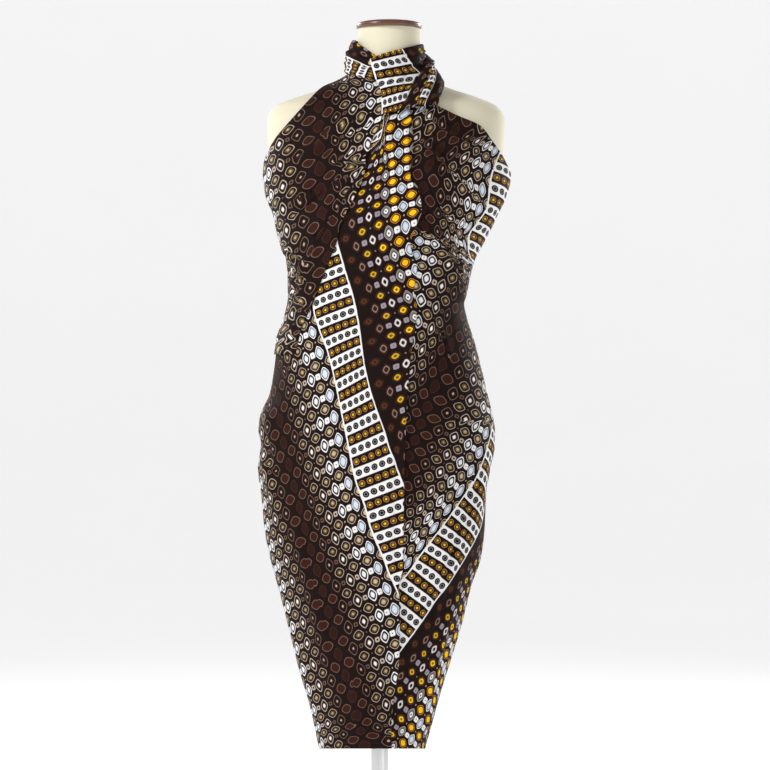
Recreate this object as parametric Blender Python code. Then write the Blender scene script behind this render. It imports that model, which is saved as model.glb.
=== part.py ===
"""A sarong tied as a halter dress, on a limbless dress form with a round stand.

Metres, +Z up. The front faces -Y and the origin is on the floor under the form's axis.
Tables are in millimetres and degrees. An angle is measured round the form's axis: 0 is the
front, +90 is the side at +X, 180 is the back and -90 is the side at -X.
"""

import math

import bmesh
import bpy
import numpy as np

MM = 0.001
# Brings the middle of the whole part's box over the origin
SHIFT = np.array([2.5, 0.0, 0.0])

# Driving sizes
HEM_Z = 322
FORM_BOTTOM_Z = 700
CAP_Z = 1488
WALL = 1.6
LAYER = 2.7
SEAT_GAP = 0.45
SEAM_ANGLE = 90.0
SEAM_GAP = 0.12
UNDERLAP = 30
TOP_Z = 1424
ROWS = 38
FIRST_STEP = 13.5
STEP_GROWTH = 0.9
BASE_RADIUS = 185
BASE_HEIGHT = 16
POLE_RADIUS = 14
COLLAR_RADIUS = 34
COLLAR_HEIGHT = 26
FIT_GAP = 0.3
ROLL_RISE = 16.0
FORM_COLUMNS = 40

# The dress form: z, centre x, half width, front depth, back depth
FORM = [
    (1488, 5, 50, 48, 53),
    (1460, 5, 50, 48, 54),
    (1438, 5, 52, 51, 56),
    (1418, 4, 57, 57, 60),
    (1402, 3, 75, 63, 66),
    (1390, 2, 104, 70, 74),
    (1376, 1, 148, 79, 83),
    (1362, 0, 180, 88, 91),
    (1340, 0, 193, 97, 100),
    (1300, 0, 191, 113, 110),
    (1255, 0, 186, 130, 112),
    (1215, 0, 172, 131, 108),
    (1175, -1, 154, 118, 101),
    (1130, -3, 136, 102, 94),
    (1085, -5, 121, 92, 89),
    (1048, -6, 116, 89, 88),
    (1010, -7, 121, 92, 94),
    (960, -8, 139, 101, 108),
    (900, -9, 160, 110, 124),
    (840, -10, 169, 113, 131),
    (785, -10, 166, 109, 126),
    (745, -10, 152, 98, 112),
    (718, -10, 126, 78, 90),
    (704, -10, 88, 54, 62),
    (700, -10, 56, 34, 40),
]

# The cloth round the form: z, left reach, right reach, front depth, back depth
CLOTH = [
    (1488, -46, 56, 49, 54),
    (1460, -47, 57, 49.4, 55),
    (1438, -49, 59, 52, 57),
    (1418, -56, 63, 59, 61),
    (1402, -80, 84, 69, 68),
    (1376, -150, 152, 88, 86),
    (1340, -194, 194, 106, 103),
    (1300, -194, 197, 121, 113),
    (1250, -198, 201, 131, 112.5),
    (1215, -193, 193, 132.5, 109),
    (1188, -182, 180, 129, 106),
    (1160, -176, 167, 130, 106),
    (1138, -170, 155, 125, 102),
    (1115, -161, 143, 119, 98),
    (1090, -157, 136, 113, 95),
    (1053, -155, 128, 106, 94),
    (1044, -156, 125, 105, 95),
    (1018, -162, 130, 107, 98),
    (984, -174, 141, 111, 105),
    (942, -179, 152, 116, 116),
    (900, -186, 162, 121, 128),
    (858, -203, 172, 122, 132.5),
    (837, -205, 175, 122, 133),
    (817, -201, 175, 123, 132),
    (777, -206, 168, 124, 131),
    (738, -201, 161, 126, 134),
    (676, -195, 158, 124, 131),
    (631, -186, 152, 122, 128),
    (587, -174, 137, 118, 125),
    (550, -164, 128, 114, 122),
    (506, -153, 116, 109, 118),
    (449, -139, 98, 102, 112),
    (396, -123, 82, 95, 106),
    (322, -107, 62, 86, 99),
]

# Front edges seen from the front: z, x
BODICE_TOP = [
    (1426, -70), (1418, -77), (1400, -90), (1362, -122), (1324, -158), (1300, -180), (1282, -190),
]
BODICE_FOLD = [
    (1426, -26), (1397, -16), (1368, -4), (1343, -4), (1289, -26), (1238, -37), (1196, -57),
    (1157, -73), (1139, -77), (1105, -91), (1037, -117), (1000, -134), (960, -143),
]
ROLLED_EDGE = [
    (1372, 30), (1343, 36), (1295, 41), (1270, 38), (1237, 36), (1225, 47), (1188, 54), (1160, 44),
    (1133, 36), (1102, 46), (1058, 41), (1031, 46), (958, 37), (887, 31), (821, 28), (757, 26),
    (628, 25), (590, 18), (537, 19), (477, 18), (417, 10), (376, 5), (322, 6),
]
RIGHT_TOP = [
    (1376, 66), (1360, 76), (1342, 108), (1324, 151), (1303, 168), (1279, 186), (1256, 199),
]

# Side edges as angles: z, degrees
LEFT_TUCK = [
    (1372, -23), (1340, -19), (1289, -27), (1238, -30), (1196, -40), (1157, -50), (1105, -60),
    (1037, -68), (1000, -76), (960, -85), (930, -90), (322, -90),
]

# Soft folds of the front: x and z of the top end, the middle and the low end,
# half width, height
FRONT_FOLDS = [
    (-16, 1353, -58, 1334, -139, 1298, 8, 3.5),
    (-19, 1340, -81, 1308, -159, 1237, 9, 5.0),
    (-23, 1318, -104, 1251, -162, 1185, 9, 4.5),
    (-23, 1295, -75, 1219, -133, 1110, 8, 4.0),
    (3, 1337, -13, 1243, -23, 1130, 8, 3.5),
    (23, 1344, 16, 1227, 19, 1049, 7, 3.5),
    (52, 1353, 105, 1303, 175, 1253, 8, 4.5),
    (49, 1321, 84, 1259, 162, 1191, 9, 5.0),
    (55, 1292, 97, 1203, 146, 1138, 9, 4.5),
    (62, 1217, 87, 1169, 126, 1110, 8, 4.0),
    (71, 1153, 100, 1110, 123, 1052, 7, 4.5),
    (55, 1065, 75, 1000, 100, 932, 8, 3.5),
    (-165, 1133, -136, 1110, -104, 1062, 7, 4.0),
    (-159, 1094, -133, 1065, -110, 1020, 7, 4.0),
    (-156, 1052, -139, 1026, -126, 987, 7, 3.5),
    (-201, 879, -185, 841, -178, 806, 9, 4.0),
    (-204, 786, -185, 757, -168, 692, 10, 4.0),
    (-146, 700, -115, 576, -83, 433, 8, 4.5),
    (-181, 628, -139, 482, -91, 328, 10, 4.0),
    (-58, 628, -39, 482, -49, 326, 11, 4.0),
    (-10, 563, -3, 433, -19, 326, 9, 3.5),
    (165, 838, 136, 692, 71, 563, 12, 4.5),
    (143, 773, 87, 628, 29, 498, 11, 4.5),
    (123, 628, 87, 498, 42, 333, 10, 4.0),
    (97, 498, 71, 401, 62, 326, 8, 3.5),
]

# Soft folds of the back, in the same columns
BACK_FOLDS = [
    (-150, 1215, -110, 1150, -60, 1090, 11, 4.0),
    (150, 1210, 108, 1145, 56, 1088, 11, 4.0),
    (-146, 1120, -100, 1070, -40, 1045, 9, 4.0),
    (122, 1112, 86, 1066, 30, 1042, 9, 4.0),
    (-128, 1040, -84, 1010, -30, 1004, 9, 3.5),
    (110, 1036, 70, 1006, 24, 1000, 9, 3.5),
    (-150, 880, -118, 640, -80, 330, 14, 5.0),
    (-70, 800, -60, 560, -52, 328, 14, 5.0),
    (10, 780, 0, 560, -14, 328, 13, 4.5),
    (90, 820, 66, 560, 24, 330, 14, 5.0),
    (150, 860, 112, 600, 52, 330, 13, 4.5),
]
FOLD_STEPS = 8

# The twist over the throat and round the right of the neck: angle and z of the upper edge,
# angle and z of the lower edge, layers out, height of the crown across it
STRAP_OVER = [
    (-3, 1336, 13, 1342, 3.2, 2),
    (-3, 1368, 20, 1366, 3.6, 3),
    (-12, 1397, 28, 1388, 3.6, 4),
    (-24, 1424, 44, 1404, 3.6, 4),
    (-8, 1436, 56, 1417, 3.6, 3),
    (34, 1450, 66, 1427, 2.2, 3),
    (80, 1460, 84, 1434, 0.8, 2),
    (116, 1463, 114, 1436, 0.3, 1.5),
    (146, 1460, 144, 1436, 0.1, 1.2),
    (171, 1452, 171, 1434, 0.1, 1.2),
]

# The strap round the left of the neck, in the same columns
STRAP_LEFT = [
    (-6, 1428, -14, 1398, 1.4, 2),
    (-24, 1440, -34, 1404, 1.6, 2),
    (-44, 1452, -54, 1408, 2.4, 5),
    (-70, 1464, -76, 1412, 3.0, 8),
    (-100, 1468, -100, 1414, 1.6, 6),
    (-136, 1465, -134, 1420, 0.4, 2),
    (-171, 1452, -171, 1430, 0.1, 1.2),
]

# The rolled loop low on the right of the neck, in the same columns
LOOP = [
    (17, 1341, 40, 1350, 3.2, 5),
    (24, 1361, 43, 1360, 3.0, 7),
    (33, 1380, 47, 1370, 2.2, 9),
    (45, 1397, 53, 1381, 2.6, 10),
    (58, 1414, 62, 1392, 3.2, 11),
    (72, 1431, 74, 1402, 3.3, 11),
    (88, 1442, 91, 1408, 2.7, 10),
    (110, 1447, 112, 1413, 2.0, 9),
    (134, 1446, 134, 1416, 1.5, 7),
    (156, 1440, 156, 1418, 1.35, 5),
]

# The ends below the knot: distance down from the knot, half width
TAIL = [(0, 14), (30, 19), (70, 25), (105, 22), (135, 10), (146, 3)]
TAIL_TOP_Z = 1414


def clear_scene():
    for thing in list(bpy.data.objects):
        bpy.data.objects.remove(thing, do_unlink=True)


def material(name, colour, roughness, metallic=0.0):
    made = bpy.data.materials.new(name)
    made.use_nodes = True
    shader = made.node_tree.nodes["Principled BSDF"]
    shader.inputs["Base Color"].default_value = (*colour, 1.0)
    shader.inputs["Roughness"].default_value = roughness
    shader.inputs["Metallic"].default_value = metallic
    return made


def smooth_curve(keys, values, at):
    """Values between the keys of a table, on a smooth curve that doesn't overshoot."""
    order = np.argsort(keys)
    keys = np.asarray(keys, float)[order]
    values = np.asarray(values, float)[order]
    step = np.diff(keys)
    slope = np.diff(values) / step
    tangent = np.zeros(len(keys))
    tangent[0] = slope[0]
    tangent[-1] = slope[-1]
    same = slope[:-1] * slope[1:] > 0
    mean = 2 * slope[:-1] * slope[1:] / np.where(same, slope[:-1] + slope[1:], 1.0)
    tangent[1:-1] = np.where(same, mean, 0.0)
    at = np.clip(at, keys[0], keys[-1])
    i = np.clip(np.searchsorted(keys, at, side="right") - 1, 0, len(step) - 1)
    t = (at - keys[i]) / step[i]
    rise = values[i] * (2 * t**3 - 3 * t**2 + 1) + values[i + 1] * (3 * t**2 - 2 * t**3)
    bend = tangent[i] * (t**3 - 2 * t**2 + t) + tangent[i + 1] * (t**3 - t**2)
    return rise + bend * step[i]


def column(table, at, place):
    keys = [row[0] for row in table]
    return smooth_curve(keys, [row[place] for row in table], at)


def smooth_step(low, high, value):
    t = np.clip((value - low) / (high - low), 0.0, 1.0)
    return t * t * (3 - 2 * t)


def ellipse_reach(angle, centre, half_width, front, back):
    """Distance from the axis to an ellipse whose middle is off the axis, along an angle."""
    sine = np.sin(angle)
    cosine = np.cos(angle)
    depth = np.where(cosine > 0, front, back)
    square = (sine / half_width) ** 2 + (cosine / depth) ** 2
    linear = -centre * sine / half_width**2
    constant = (centre / half_width) ** 2 - 1
    return (-linear + np.sqrt(linear**2 - square * constant)) / square


def form_reach(angle, z):
    parts = [column(FORM, z, place) for place in (1, 2, 3, 4)]
    return ellipse_reach(angle, *parts)


def fold_line(row):
    """Points along the curved crest of a fold, through its three given points."""
    start, middle, end = (np.array(row[k : k + 2], float) for k in (0, 2, 4))
    pull = 2 * middle - (start + end) / 2
    t = np.linspace(0, 1, FOLD_STEPS + 1)[:, None]
    return start * (1 - t) ** 2 + 2 * pull * t * (1 - t) + end * t**2


def fold_height(table, x, z):
    """Sum of the soft ridges of a table at a point seen from the front or the back."""
    total = np.zeros(np.broadcast(x, z).shape)
    for row in table:
        half_width, height = row[6:]
        line = fold_line(row)
        nearest = np.full(total.shape, 1e9)
        place = np.zeros(total.shape)
        for k, (here, there) in enumerate(zip(line, line[1:])):
            run = there - here
            along = ((x - here[0]) * run[0] + (z - here[1]) * run[1]) / run.dot(run)
            along = np.clip(along, 0, 1)
            away = np.hypot(x - here[0] - along * run[0], z - here[1] - along * run[1])
            place = np.where(away < nearest, (k + along) / FOLD_STEPS, place)
            nearest = np.minimum(away, nearest)
        ends = smooth_step(0.0, 0.3, place) * smooth_step(1.0, 0.65, place)
        total = total + height * ends * np.exp(-((nearest / half_width) ** 2))
    return total


def cloth_reach(angle, z, folded=1.0):
    """Distance from the axis to the cloth's first layer: its own shape, or just off the form.

    A stretch that is hidden under another one lies flat: its folds are taken down to 0 there.
    """
    left = column(CLOTH, z, 1)
    right = column(CLOTH, z, 2)
    shape = ellipse_reach(
        angle, (left + right) / 2, (right - left) / 2, column(CLOTH, z, 3), column(CLOTH, z, 4)
    )
    x = shape * np.sin(angle)
    facing = np.cos(angle)
    front = fold_height(FRONT_FOLDS, x, z) * smooth_step(0.0, 0.3, facing)
    back = fold_height(BACK_FOLDS, x, z) * smooth_step(0.0, 0.3, -facing)
    return np.maximum(shape + folded * (front + back), form_reach(angle, z) + SEAT_GAP)


def point_on(reach, angle, z):
    r = reach(angle, z)
    return np.stack([r * np.sin(angle), -r * np.cos(angle), z + 0 * r], axis=-1)


def normal_on(reach, angle, z, rise=2.0):
    """The outward direction, averaged over the given height either way."""
    turn = 0.01
    round_it = point_on(reach, angle + turn, z) - point_on(reach, angle - turn, z)
    up_it = point_on(reach, angle, z + rise) - point_on(reach, angle, z - rise)
    normal = np.cross(round_it, up_it)
    return normal / np.linalg.norm(normal, axis=-1, keepdims=True)


def offset_on(reach, angle, z, lift, rise=2.0):
    away = np.asarray(lift)[..., None]
    return point_on(reach, angle, z) + normal_on(reach, angle, z, rise) * away


def angle_at(x, z):
    """The angle on the front half where the cloth's first layer has this x at this height."""
    x, z = np.broadcast_arrays(np.asarray(x, float), np.asarray(z, float))
    low = np.full(x.shape, -math.pi / 2)
    high = np.full(x.shape, math.pi / 2)
    for _ in range(30):
        middle = (low + high) / 2
        smaller = cloth_reach(middle, z) * np.sin(middle) < x
        low = np.where(smaller, middle, low)
        high = np.where(smaller, high, middle)
    return (low + high) / 2


def add_object(name, points, faces, finish, smooth=True):
    mesh = bpy.data.meshes.new(name)
    mesh.from_pydata([tuple((p + SHIFT) * MM) for p in points], [], faces)
    made = bmesh.new()
    made.from_mesh(mesh)
    bmesh.ops.recalc_face_normals(made, faces=made.faces)
    bmesh.ops.triangulate(made, faces=made.faces)
    made.to_mesh(mesh)
    made.free()
    if smooth:
        mesh.shade_smooth()
        mesh.set_sharp_from_angle(angle=math.radians(50))
    mesh.materials.append(finish)
    thing = bpy.data.objects.new(name, mesh)
    bpy.context.scene.collection.objects.link(thing)
    return thing


def walled(name, inner, outer, finish):
    """A closed wall between two grids of points that have the same rows and columns."""
    rows, columns = inner.shape[:2]
    points = list(inner.reshape(-1, 3)) + list(outer.reshape(-1, 3))
    shift = rows * columns
    faces = []
    for j in range(rows - 1):
        for i in range(columns - 1):
            a = j * columns + i
            quad = [a, a + 1, a + columns + 1, a + columns]
            faces.append(tuple(quad[::-1]))
            faces.append(tuple(corner + shift for corner in quad))
    rim = [i for i in range(columns)]
    rim += [j * columns + columns - 1 for j in range(1, rows)]
    rim += [(rows - 1) * columns + i for i in range(columns - 2, -1, -1)]
    rim += [j * columns for j in range(rows - 2, 0, -1)]
    for here, there in zip(rim, rim[1:] + rim[:1]):
        faces.append((here, there, there + shift, here + shift))
    return add_object(name, points, faces, finish)


def stretch_of_cloth(name, angle, z, lift, finish, folded=1.0):
    """A stretch of the wrap: grids of angle, height and lift off the first layer."""
    def reach(at_angle, at_z):
        return cloth_reach(at_angle, at_z, folded)

    inner = offset_on(reach, angle, z, lift)
    outer = offset_on(reach, angle, z, lift + WALL)
    outer[..., 2] = np.maximum(outer[..., 2], HEM_Z)
    inner[..., 2] = np.maximum(inner[..., 2], HEM_Z)
    return walled(name, inner, outer, finish)


def turned(name, profile, segments, finish, centre=(0.0, 0.0)):
    """A closed body turned from (radius, z) pairs, from its lower middle to its upper middle."""
    points = []
    faces = []
    for radius, z in profile:
        for k in range(segments):
            a = 2 * math.pi * k / segments
            points.append(
                np.array([centre[0] + radius * math.sin(a), centre[1] - radius * math.cos(a), z])
            )
    for j in range(len(profile) - 1):
        for k in range(segments):
            n = (k + 1) % segments
            faces.append((j * segments + k, j * segments + n, (j + 1) * segments + n,
                          (j + 1) * segments + k))
    faces.append(tuple(range(segments))[::-1])
    top = (len(profile) - 1) * segments
    faces.append(tuple(top + k for k in range(segments)))
    return add_object(name, points, faces, finish)


def row_heights(top, bottom):
    """The rows that every stretch shares, so that layers lie evenly on each other."""
    steps = FIRST_STEP + STEP_GROWTH * np.arange(ROWS - 1)
    down = np.concatenate([[0.0], np.cumsum(steps)])
    heights = TOP_Z - down * (TOP_Z - HEM_Z) / down[-1]
    return heights[(heights < top + 1) & (heights > bottom - 1)]


def between(start, end, columns):
    share = np.linspace(0, 1, columns)
    return start[:, None] + (end - start)[:, None] * share[None, :]


def left_lift(angle):
    """The front left stretch lies a layer out where the right one runs under it."""
    return LAYER * smooth_step(-86, -34, np.degrees(angle))


def make_wrap_back(finish):
    seam = math.radians(SEAM_ANGLE + SEAM_GAP)
    columns = 28
    angle = np.linspace(seam, 2 * math.pi - seam, columns)
    rise = 10 * np.cos(angle) ** 2
    heights = row_heights(1240, HEM_Z)
    z = np.repeat(heights[:, None], columns, axis=1)
    z[0] -= rise
    stretch_of_cloth("wrap_back", np.broadcast_to(angle, z.shape), z, 0 * z, finish)


def make_wrap_right(finish):
    z = row_heights(1384, HEM_Z)
    left = angle_at(column(ROLLED_EDGE, z, 1) - UNDERLAP, z)
    seam = math.radians(SEAM_ANGLE - SEAM_GAP)
    top = angle_at(np.minimum(column(RIGHT_TOP, z, 1), 201), z)
    right = np.where(z < RIGHT_TOP[-1][0], seam, np.minimum(top, seam))
    angle = between(left, right, 20)
    heights = np.broadcast_to(z[:, None], angle.shape)
    edge = angle_at(column(ROLLED_EDGE, z, 1), z)[:, None]
    folded = smooth_step(0.02, 0.12, angle - edge)
    stretch_of_cloth("wrap_right", angle, heights, 0 * angle, finish, folded)


def make_wrap_left(finish):
    z = row_heights(1370, HEM_Z)
    seam = math.radians(SEAM_GAP - SEAM_ANGLE)
    left = np.maximum(np.radians(column(LEFT_TUCK, z, 1)), seam)
    right = angle_at(column(ROLLED_EDGE, z, 1), z)
    angle = between(left, right, 23)
    heights = np.broadcast_to(z[:, None], angle.shape)
    roll = 2.2 * smooth_step(14, 0, (right[:, None] - angle) * 140)
    edge = np.where(z > 960, angle_at(column(BODICE_FOLD, z, 1), z), -2.0)[:, None]
    folded = smooth_step(0.02, 0.12, angle - edge)
    stretch_of_cloth("wrap_left", angle, heights, left_lift(angle) + roll, finish, folded)


def make_bodice_left(finish):
    z = row_heights(1424, 960)
    seam = math.radians(SEAM_GAP - SEAM_ANGLE)
    top = angle_at(column(BODICE_TOP, z, 1), z)
    left = np.where(z < BODICE_TOP[-1][0], seam, np.maximum(top, seam))
    right = angle_at(column(BODICE_FOLD, z, 1), z)
    angle = between(left, right, 17)
    heights = np.broadcast_to(z[:, None], angle.shape)
    tucked = smooth_step(1120, 1050, heights)
    side = smooth_step(-89, -62, np.degrees(angle))
    free = smooth_step(1404, 1374, heights)
    lift = (LAYER + left_lift(angle)) * np.maximum(side, tucked) * free
    stretch_of_cloth("bodice_left", angle, heights, lift, finish)


def strap_grids(table, along, across):
    """Grids of angle, height and lift off the first layer for a strap's table."""
    rows = np.linspace(0, len(table) - 1, along)
    places = np.arange(len(table))
    read = [smooth_curve(places, [row[k] for row in table], rows) for k in range(6)]
    upper_angle, upper_z, lower_angle, lower_z, layers, height = read
    angle = np.radians(between(upper_angle, lower_angle, across))
    z = between(upper_z, lower_z, across)
    crown = np.sin(np.linspace(0, math.pi, across))[None, :]
    return angle, z, layers[:, None] * LAYER + 0 * crown, height[:, None] * crown


def make_strap(name, table, finish):
    """A strap is a wall with a crown across it."""
    angle, z, lift, crown = strap_grids(table, 21, 5)
    inner = offset_on(cloth_reach, angle, z, lift + crown)
    outer = offset_on(cloth_reach, angle, z, lift + crown + WALL)
    walled(name, inner, outer, finish)


def make_loop(finish):
    """The loop is the end rolled up on itself: flat below, with its roll above."""
    angle, z, lift, crown = strap_grids(LOOP, 21, 8)
    inner = offset_on(cloth_reach, angle, z, lift, ROLL_RISE)
    outer = offset_on(cloth_reach, angle, z, lift + crown + WALL, ROLL_RISE)
    walled("loop_right", inner, outer, finish)


def make_knot(finish):
    """The knot is a crowned lump over the ends of both straps, hollowed by its tucks."""
    across = 12
    down = 8
    angle = np.radians(between(np.full(down, 158.5), np.full(down, 201.5), across))
    z = between(np.full(across, 1459.0), np.full(across, 1408.0), down).T
    u = np.linspace(-1, 1, across)[None, :]
    v = np.linspace(-1, 1, down)[:, None]
    crown = np.clip(1 - np.abs(u) ** 3, 0, 1) * np.clip(1 - np.abs(v) ** 3, 0, 1)
    tuck = 5 * np.exp(-(((u + 0.45 * v) / 0.2) ** 2))
    inner_lift = 7.5 + 8 * smooth_step(1440, 1416, z)
    outer_lift = inner_lift + 3 + 19 * np.sqrt(crown) - tuck * crown
    inner = offset_on(form_reach, angle, z, inner_lift)
    outer = offset_on(form_reach, angle, z, outer_lift)
    walled("knot_back", inner, outer, finish)


def make_tail(name, side, finish):
    down = 13
    across = 6
    drop = np.linspace(0, TAIL[-1][0], down)
    half = column(TAIL, drop, 1)
    share = np.linspace(-1, 1, across)[None, :]
    lean = side * (18 + 0.17 * drop)
    x = lean[:, None] + half[:, None] * share
    z = TAIL_TOP_Z - drop[:, None] + 0 * x
    reach = column(FORM, z, 4)
    width = column(FORM, z, 2)
    angle = math.pi - np.arctan2(x * 1.0, reach * np.sqrt(np.clip(1 - (x / width) ** 2, 0, 1)))
    pleat = 4 * np.cos(math.pi * share * 1.5) * smooth_step(0, 60, drop)[:, None]
    hang = 7.5 - 3 * smooth_step(0, 120, drop) + 6 * smooth_step(24, 0, drop)
    lift = hang[:, None] + pleat
    inner = offset_on(form_reach, angle, z, lift)
    outer = offset_on(form_reach, angle, z, lift + WALL)
    walled(name, inner, outer, finish)


def make_form(cream, wood, metal):
    angle = np.arange(FORM_COLUMNS) * 2 * math.pi / FORM_COLUMNS
    heights = [row[0] for row in FORM]
    points = []
    faces = []
    for z in heights:
        points += list(point_on(form_reach, angle, np.full(FORM_COLUMNS, float(z))))
    for j in range(len(heights) - 1):
        for k in range(FORM_COLUMNS):
            n = (k + 1) % FORM_COLUMNS
            a = j * FORM_COLUMNS
            b = a + FORM_COLUMNS
            faces.append((a + k, a + n, b + n, b + k))
    faces.append(tuple(range(FORM_COLUMNS)))
    faces.append(tuple((len(heights) - 1) * FORM_COLUMNS + k for k in range(FORM_COLUMNS))[::-1])
    add_object("form_torso", points, faces, cream)

    cap = [(51, 0), (53, 2), (53, 5), (50, 8), (40, 10.5), (24, 12), (8, 12.5)]
    cap = [(radius, CAP_Z + FIT_GAP + rise) for radius, rise in cap]
    turned("form_cap", cap, 32, wood, centre=(5.0, -2.5))

    collar_top = FORM_BOTTOM_Z - FIT_GAP
    collar = [(COLLAR_RADIUS - 12, collar_top - COLLAR_HEIGHT), (COLLAR_RADIUS - 4, collar_top - 8),
              (COLLAR_RADIUS, collar_top - 5), (COLLAR_RADIUS, collar_top)]
    turned("form_collar", collar, 24, metal, centre=(-10.0, 0.0))
    pole_top = collar_top - COLLAR_HEIGHT - FIT_GAP
    pole = [(POLE_RADIUS, BASE_HEIGHT + FIT_GAP), (POLE_RADIUS, pole_top)]
    turned("form_pole", pole, 24, metal, centre=(-10.0, 0.0))
    base = [(BASE_RADIUS - 2, 0), (BASE_RADIUS, 2), (BASE_RADIUS, 8), (BASE_RADIUS - 5, 11),
            (60, BASE_HEIGHT - 1), (40, BASE_HEIGHT)]
    turned("form_base", base, 48, metal, centre=(-10.0, 0.0))


def main():
    clear_scene()
    cream = material("form_cover", (0.80, 0.74, 0.62), 0.85)
    wood = material("cap_wood", (0.22, 0.10, 0.045), 0.45)
    metal = material("stand_metal", (0.55, 0.55, 0.56), 0.35, 1.0)
    cloth = material("printed_cotton", (0.055, 0.030, 0.022), 0.85)
    cloth_light = material("printed_cotton_light", (0.34, 0.27, 0.20), 0.85)
    cloth_knot = material("printed_cotton_knot", (0.09, 0.05, 0.035), 0.85)
    make_form(cream, wood, metal)
    make_wrap_back(cloth)
    make_wrap_right(cloth)
    make_wrap_left(cloth_light)
    make_bodice_left(cloth)
    make_strap("strap_over", STRAP_OVER, cloth_light)
    make_strap("strap_left", STRAP_LEFT, cloth)
    make_loop(cloth_knot)
    make_knot(cloth_knot)
    make_tail("tail_left", -1, cloth)
    make_tail("tail_right", 1, cloth_knot)


main()
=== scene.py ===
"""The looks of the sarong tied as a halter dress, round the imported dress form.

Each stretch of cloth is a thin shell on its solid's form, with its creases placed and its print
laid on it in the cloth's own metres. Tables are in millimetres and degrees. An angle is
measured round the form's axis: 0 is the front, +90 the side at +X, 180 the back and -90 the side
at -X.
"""

import math

import bmesh
import bpy
import numpy as np
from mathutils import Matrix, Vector

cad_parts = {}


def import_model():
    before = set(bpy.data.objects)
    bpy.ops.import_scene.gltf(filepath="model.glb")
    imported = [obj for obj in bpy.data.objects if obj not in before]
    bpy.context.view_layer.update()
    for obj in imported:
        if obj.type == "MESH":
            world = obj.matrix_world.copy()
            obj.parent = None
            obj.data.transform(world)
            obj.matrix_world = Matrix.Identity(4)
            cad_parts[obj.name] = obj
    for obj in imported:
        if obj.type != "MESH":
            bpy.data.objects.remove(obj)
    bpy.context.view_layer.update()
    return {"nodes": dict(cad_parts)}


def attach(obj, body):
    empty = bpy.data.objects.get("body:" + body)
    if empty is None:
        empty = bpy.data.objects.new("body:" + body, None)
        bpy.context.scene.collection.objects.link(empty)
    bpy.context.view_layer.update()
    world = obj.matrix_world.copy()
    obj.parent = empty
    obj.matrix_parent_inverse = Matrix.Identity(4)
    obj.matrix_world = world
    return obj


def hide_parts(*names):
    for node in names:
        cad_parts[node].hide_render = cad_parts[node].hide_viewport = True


MM = 0.001
# The solids' middle, from the axis that the angles turn round
SHIFT = np.array([2.5, 0.0, 0.0])
# Takes the level part of a direction
LEVEL = np.array([1.0, 1.0, 0.0])

# Sizes that the solids share
HEM_Z = 322
CAP_Z = 1488
WALL = 1.6
LAYER = 2.7
SEAT_GAP = 0.45
SEAM_GAP = 0.12
# How far the right stretch runs on under the rolled edge
UNDERLAP = 30
# Height over which the loop's outward direction is averaged, either way
ROLL_RISE = 16.0

# Each stretch: height of its top, and the width that its columns are counted from
LEFT_TOP_Z, LEFT_WIDE = 1370, 330
RIGHT_TOP_Z, RIGHT_WIDE = 1384, 270
BODICE_TOP_Z, BODICE_WIDE = 1424, 230
BACK_TOP_Z, BACK_WIDE = 1240, 560
BODICE_LOW_Z = 960
# The right stretch's upper edge is looked for no further out than this
RIGHT_MOST_X = 201
# Angles over which the left stretch steps out over the right one
LEFT_OVER = (-86, -34)
# Where the bodice steps out over the left stretch: heights at the waist, angles at the side
BODICE_TUCKED = (1120, 1050)
BODICE_SIDE = (-89, -62)
# Heights over which it comes down onto the form at the throat
BODICE_FREE = (1404, 1374)
# Angles in radians over which folds fade in from an edge that covers them
FOLDS_FROM = (0.02, 0.12)
# The rolled edge: how much it stands out, over how much cloth, and the reach of that cloth
EDGE_RISE = 2.0
EDGE_RUN = 14
EDGE_REACH = 140
# Radius of each soft roll, and the flat cloth after it
LEFT_ROLL = 1.7
BODICE_ROLL = 1.2
STRAP_ROLL = 2.2
LOOP_ROLL = 2.6
ROLL_TAIL = 4.0
# Height over which the hem's rise fades in
HEM_FADE = 60
# The dip of the back's upper edge, and where it starts
BACK_SAG = 10
BACK_SAG_Z = 1210

# Sizes of the finer shells
COLUMN_STEP = 3.0
ROW_STEP = 3.6
BACK_STEP = 4.4
CLOTH_THICK = 0.8
CREASE_FLOOR = -3.0
CREASE_GAIN = 1.6
# Slight unevenness: how far for a radian across and up, start, height
RIPPLES = [
    (17.0, 41.0, 0.3, 0.35), (-23.0, 29.0, 1.7, 0.35), (31.0, 13.0, 0.9, 0.25),
    (9.0, -37.0, 2.4, 0.2),
]
# The lattice that the folds are worked out on
MAP_X = (-262.0, 263.0)
MAP_Z = (300.0, 1500.0)
# Shares of its length by which a fold and a tuck reach their full height and leave it
FOLD_ENDS = (0.3, 0.65)
TUCK_ENDS = (0.25, 0.75)
# How squarely a surface faces the front or the back before its folds are whole
FACING_FADE = (0.0, 0.3)
# Steps that halve the search for an angle
HALVINGS = 22

# Stitches of the hems
STITCH_STEP = 3.6
STITCH_LENGTH = 2.4
STITCH_RADIUS = 0.3
STITCH_LIFT = 0.25
STITCH_MARGIN = 2.0
# Rows between an edge and its stitches, and columns that lie hidden under the rolled edge
HEM_ROWS = 3
UNDER_COLUMNS = 10

# Camera, photograph and light
CAMERA_DISTANCE = 5.0
PHOTO_MM_PER_PIXEL = 1.62
PHOTO_PIXELS = 770
PHOTO_AXIS_PX = 386.0
PHOTO_TOP_Z = 1534.8
CAMERA_Z = 0.911
SENSOR = 36.0
PAPER_GLOW = 0.64
SKY_STRENGTH = 0.22
LIGHTS_AIM = (0.0, 0.0, 0.95)
# The floor in metres: radius and height, then the curve up to the wall, and the wall's top
FLOOR = [(4.0, 0.0), (7.5, 0.0)]
FLOOR_CURVE = 4.5
WALL_TOP = (12.0, 6.5)
FLOOR_DROP = 0.0005
ROUND_COLUMNS = 96
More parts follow.
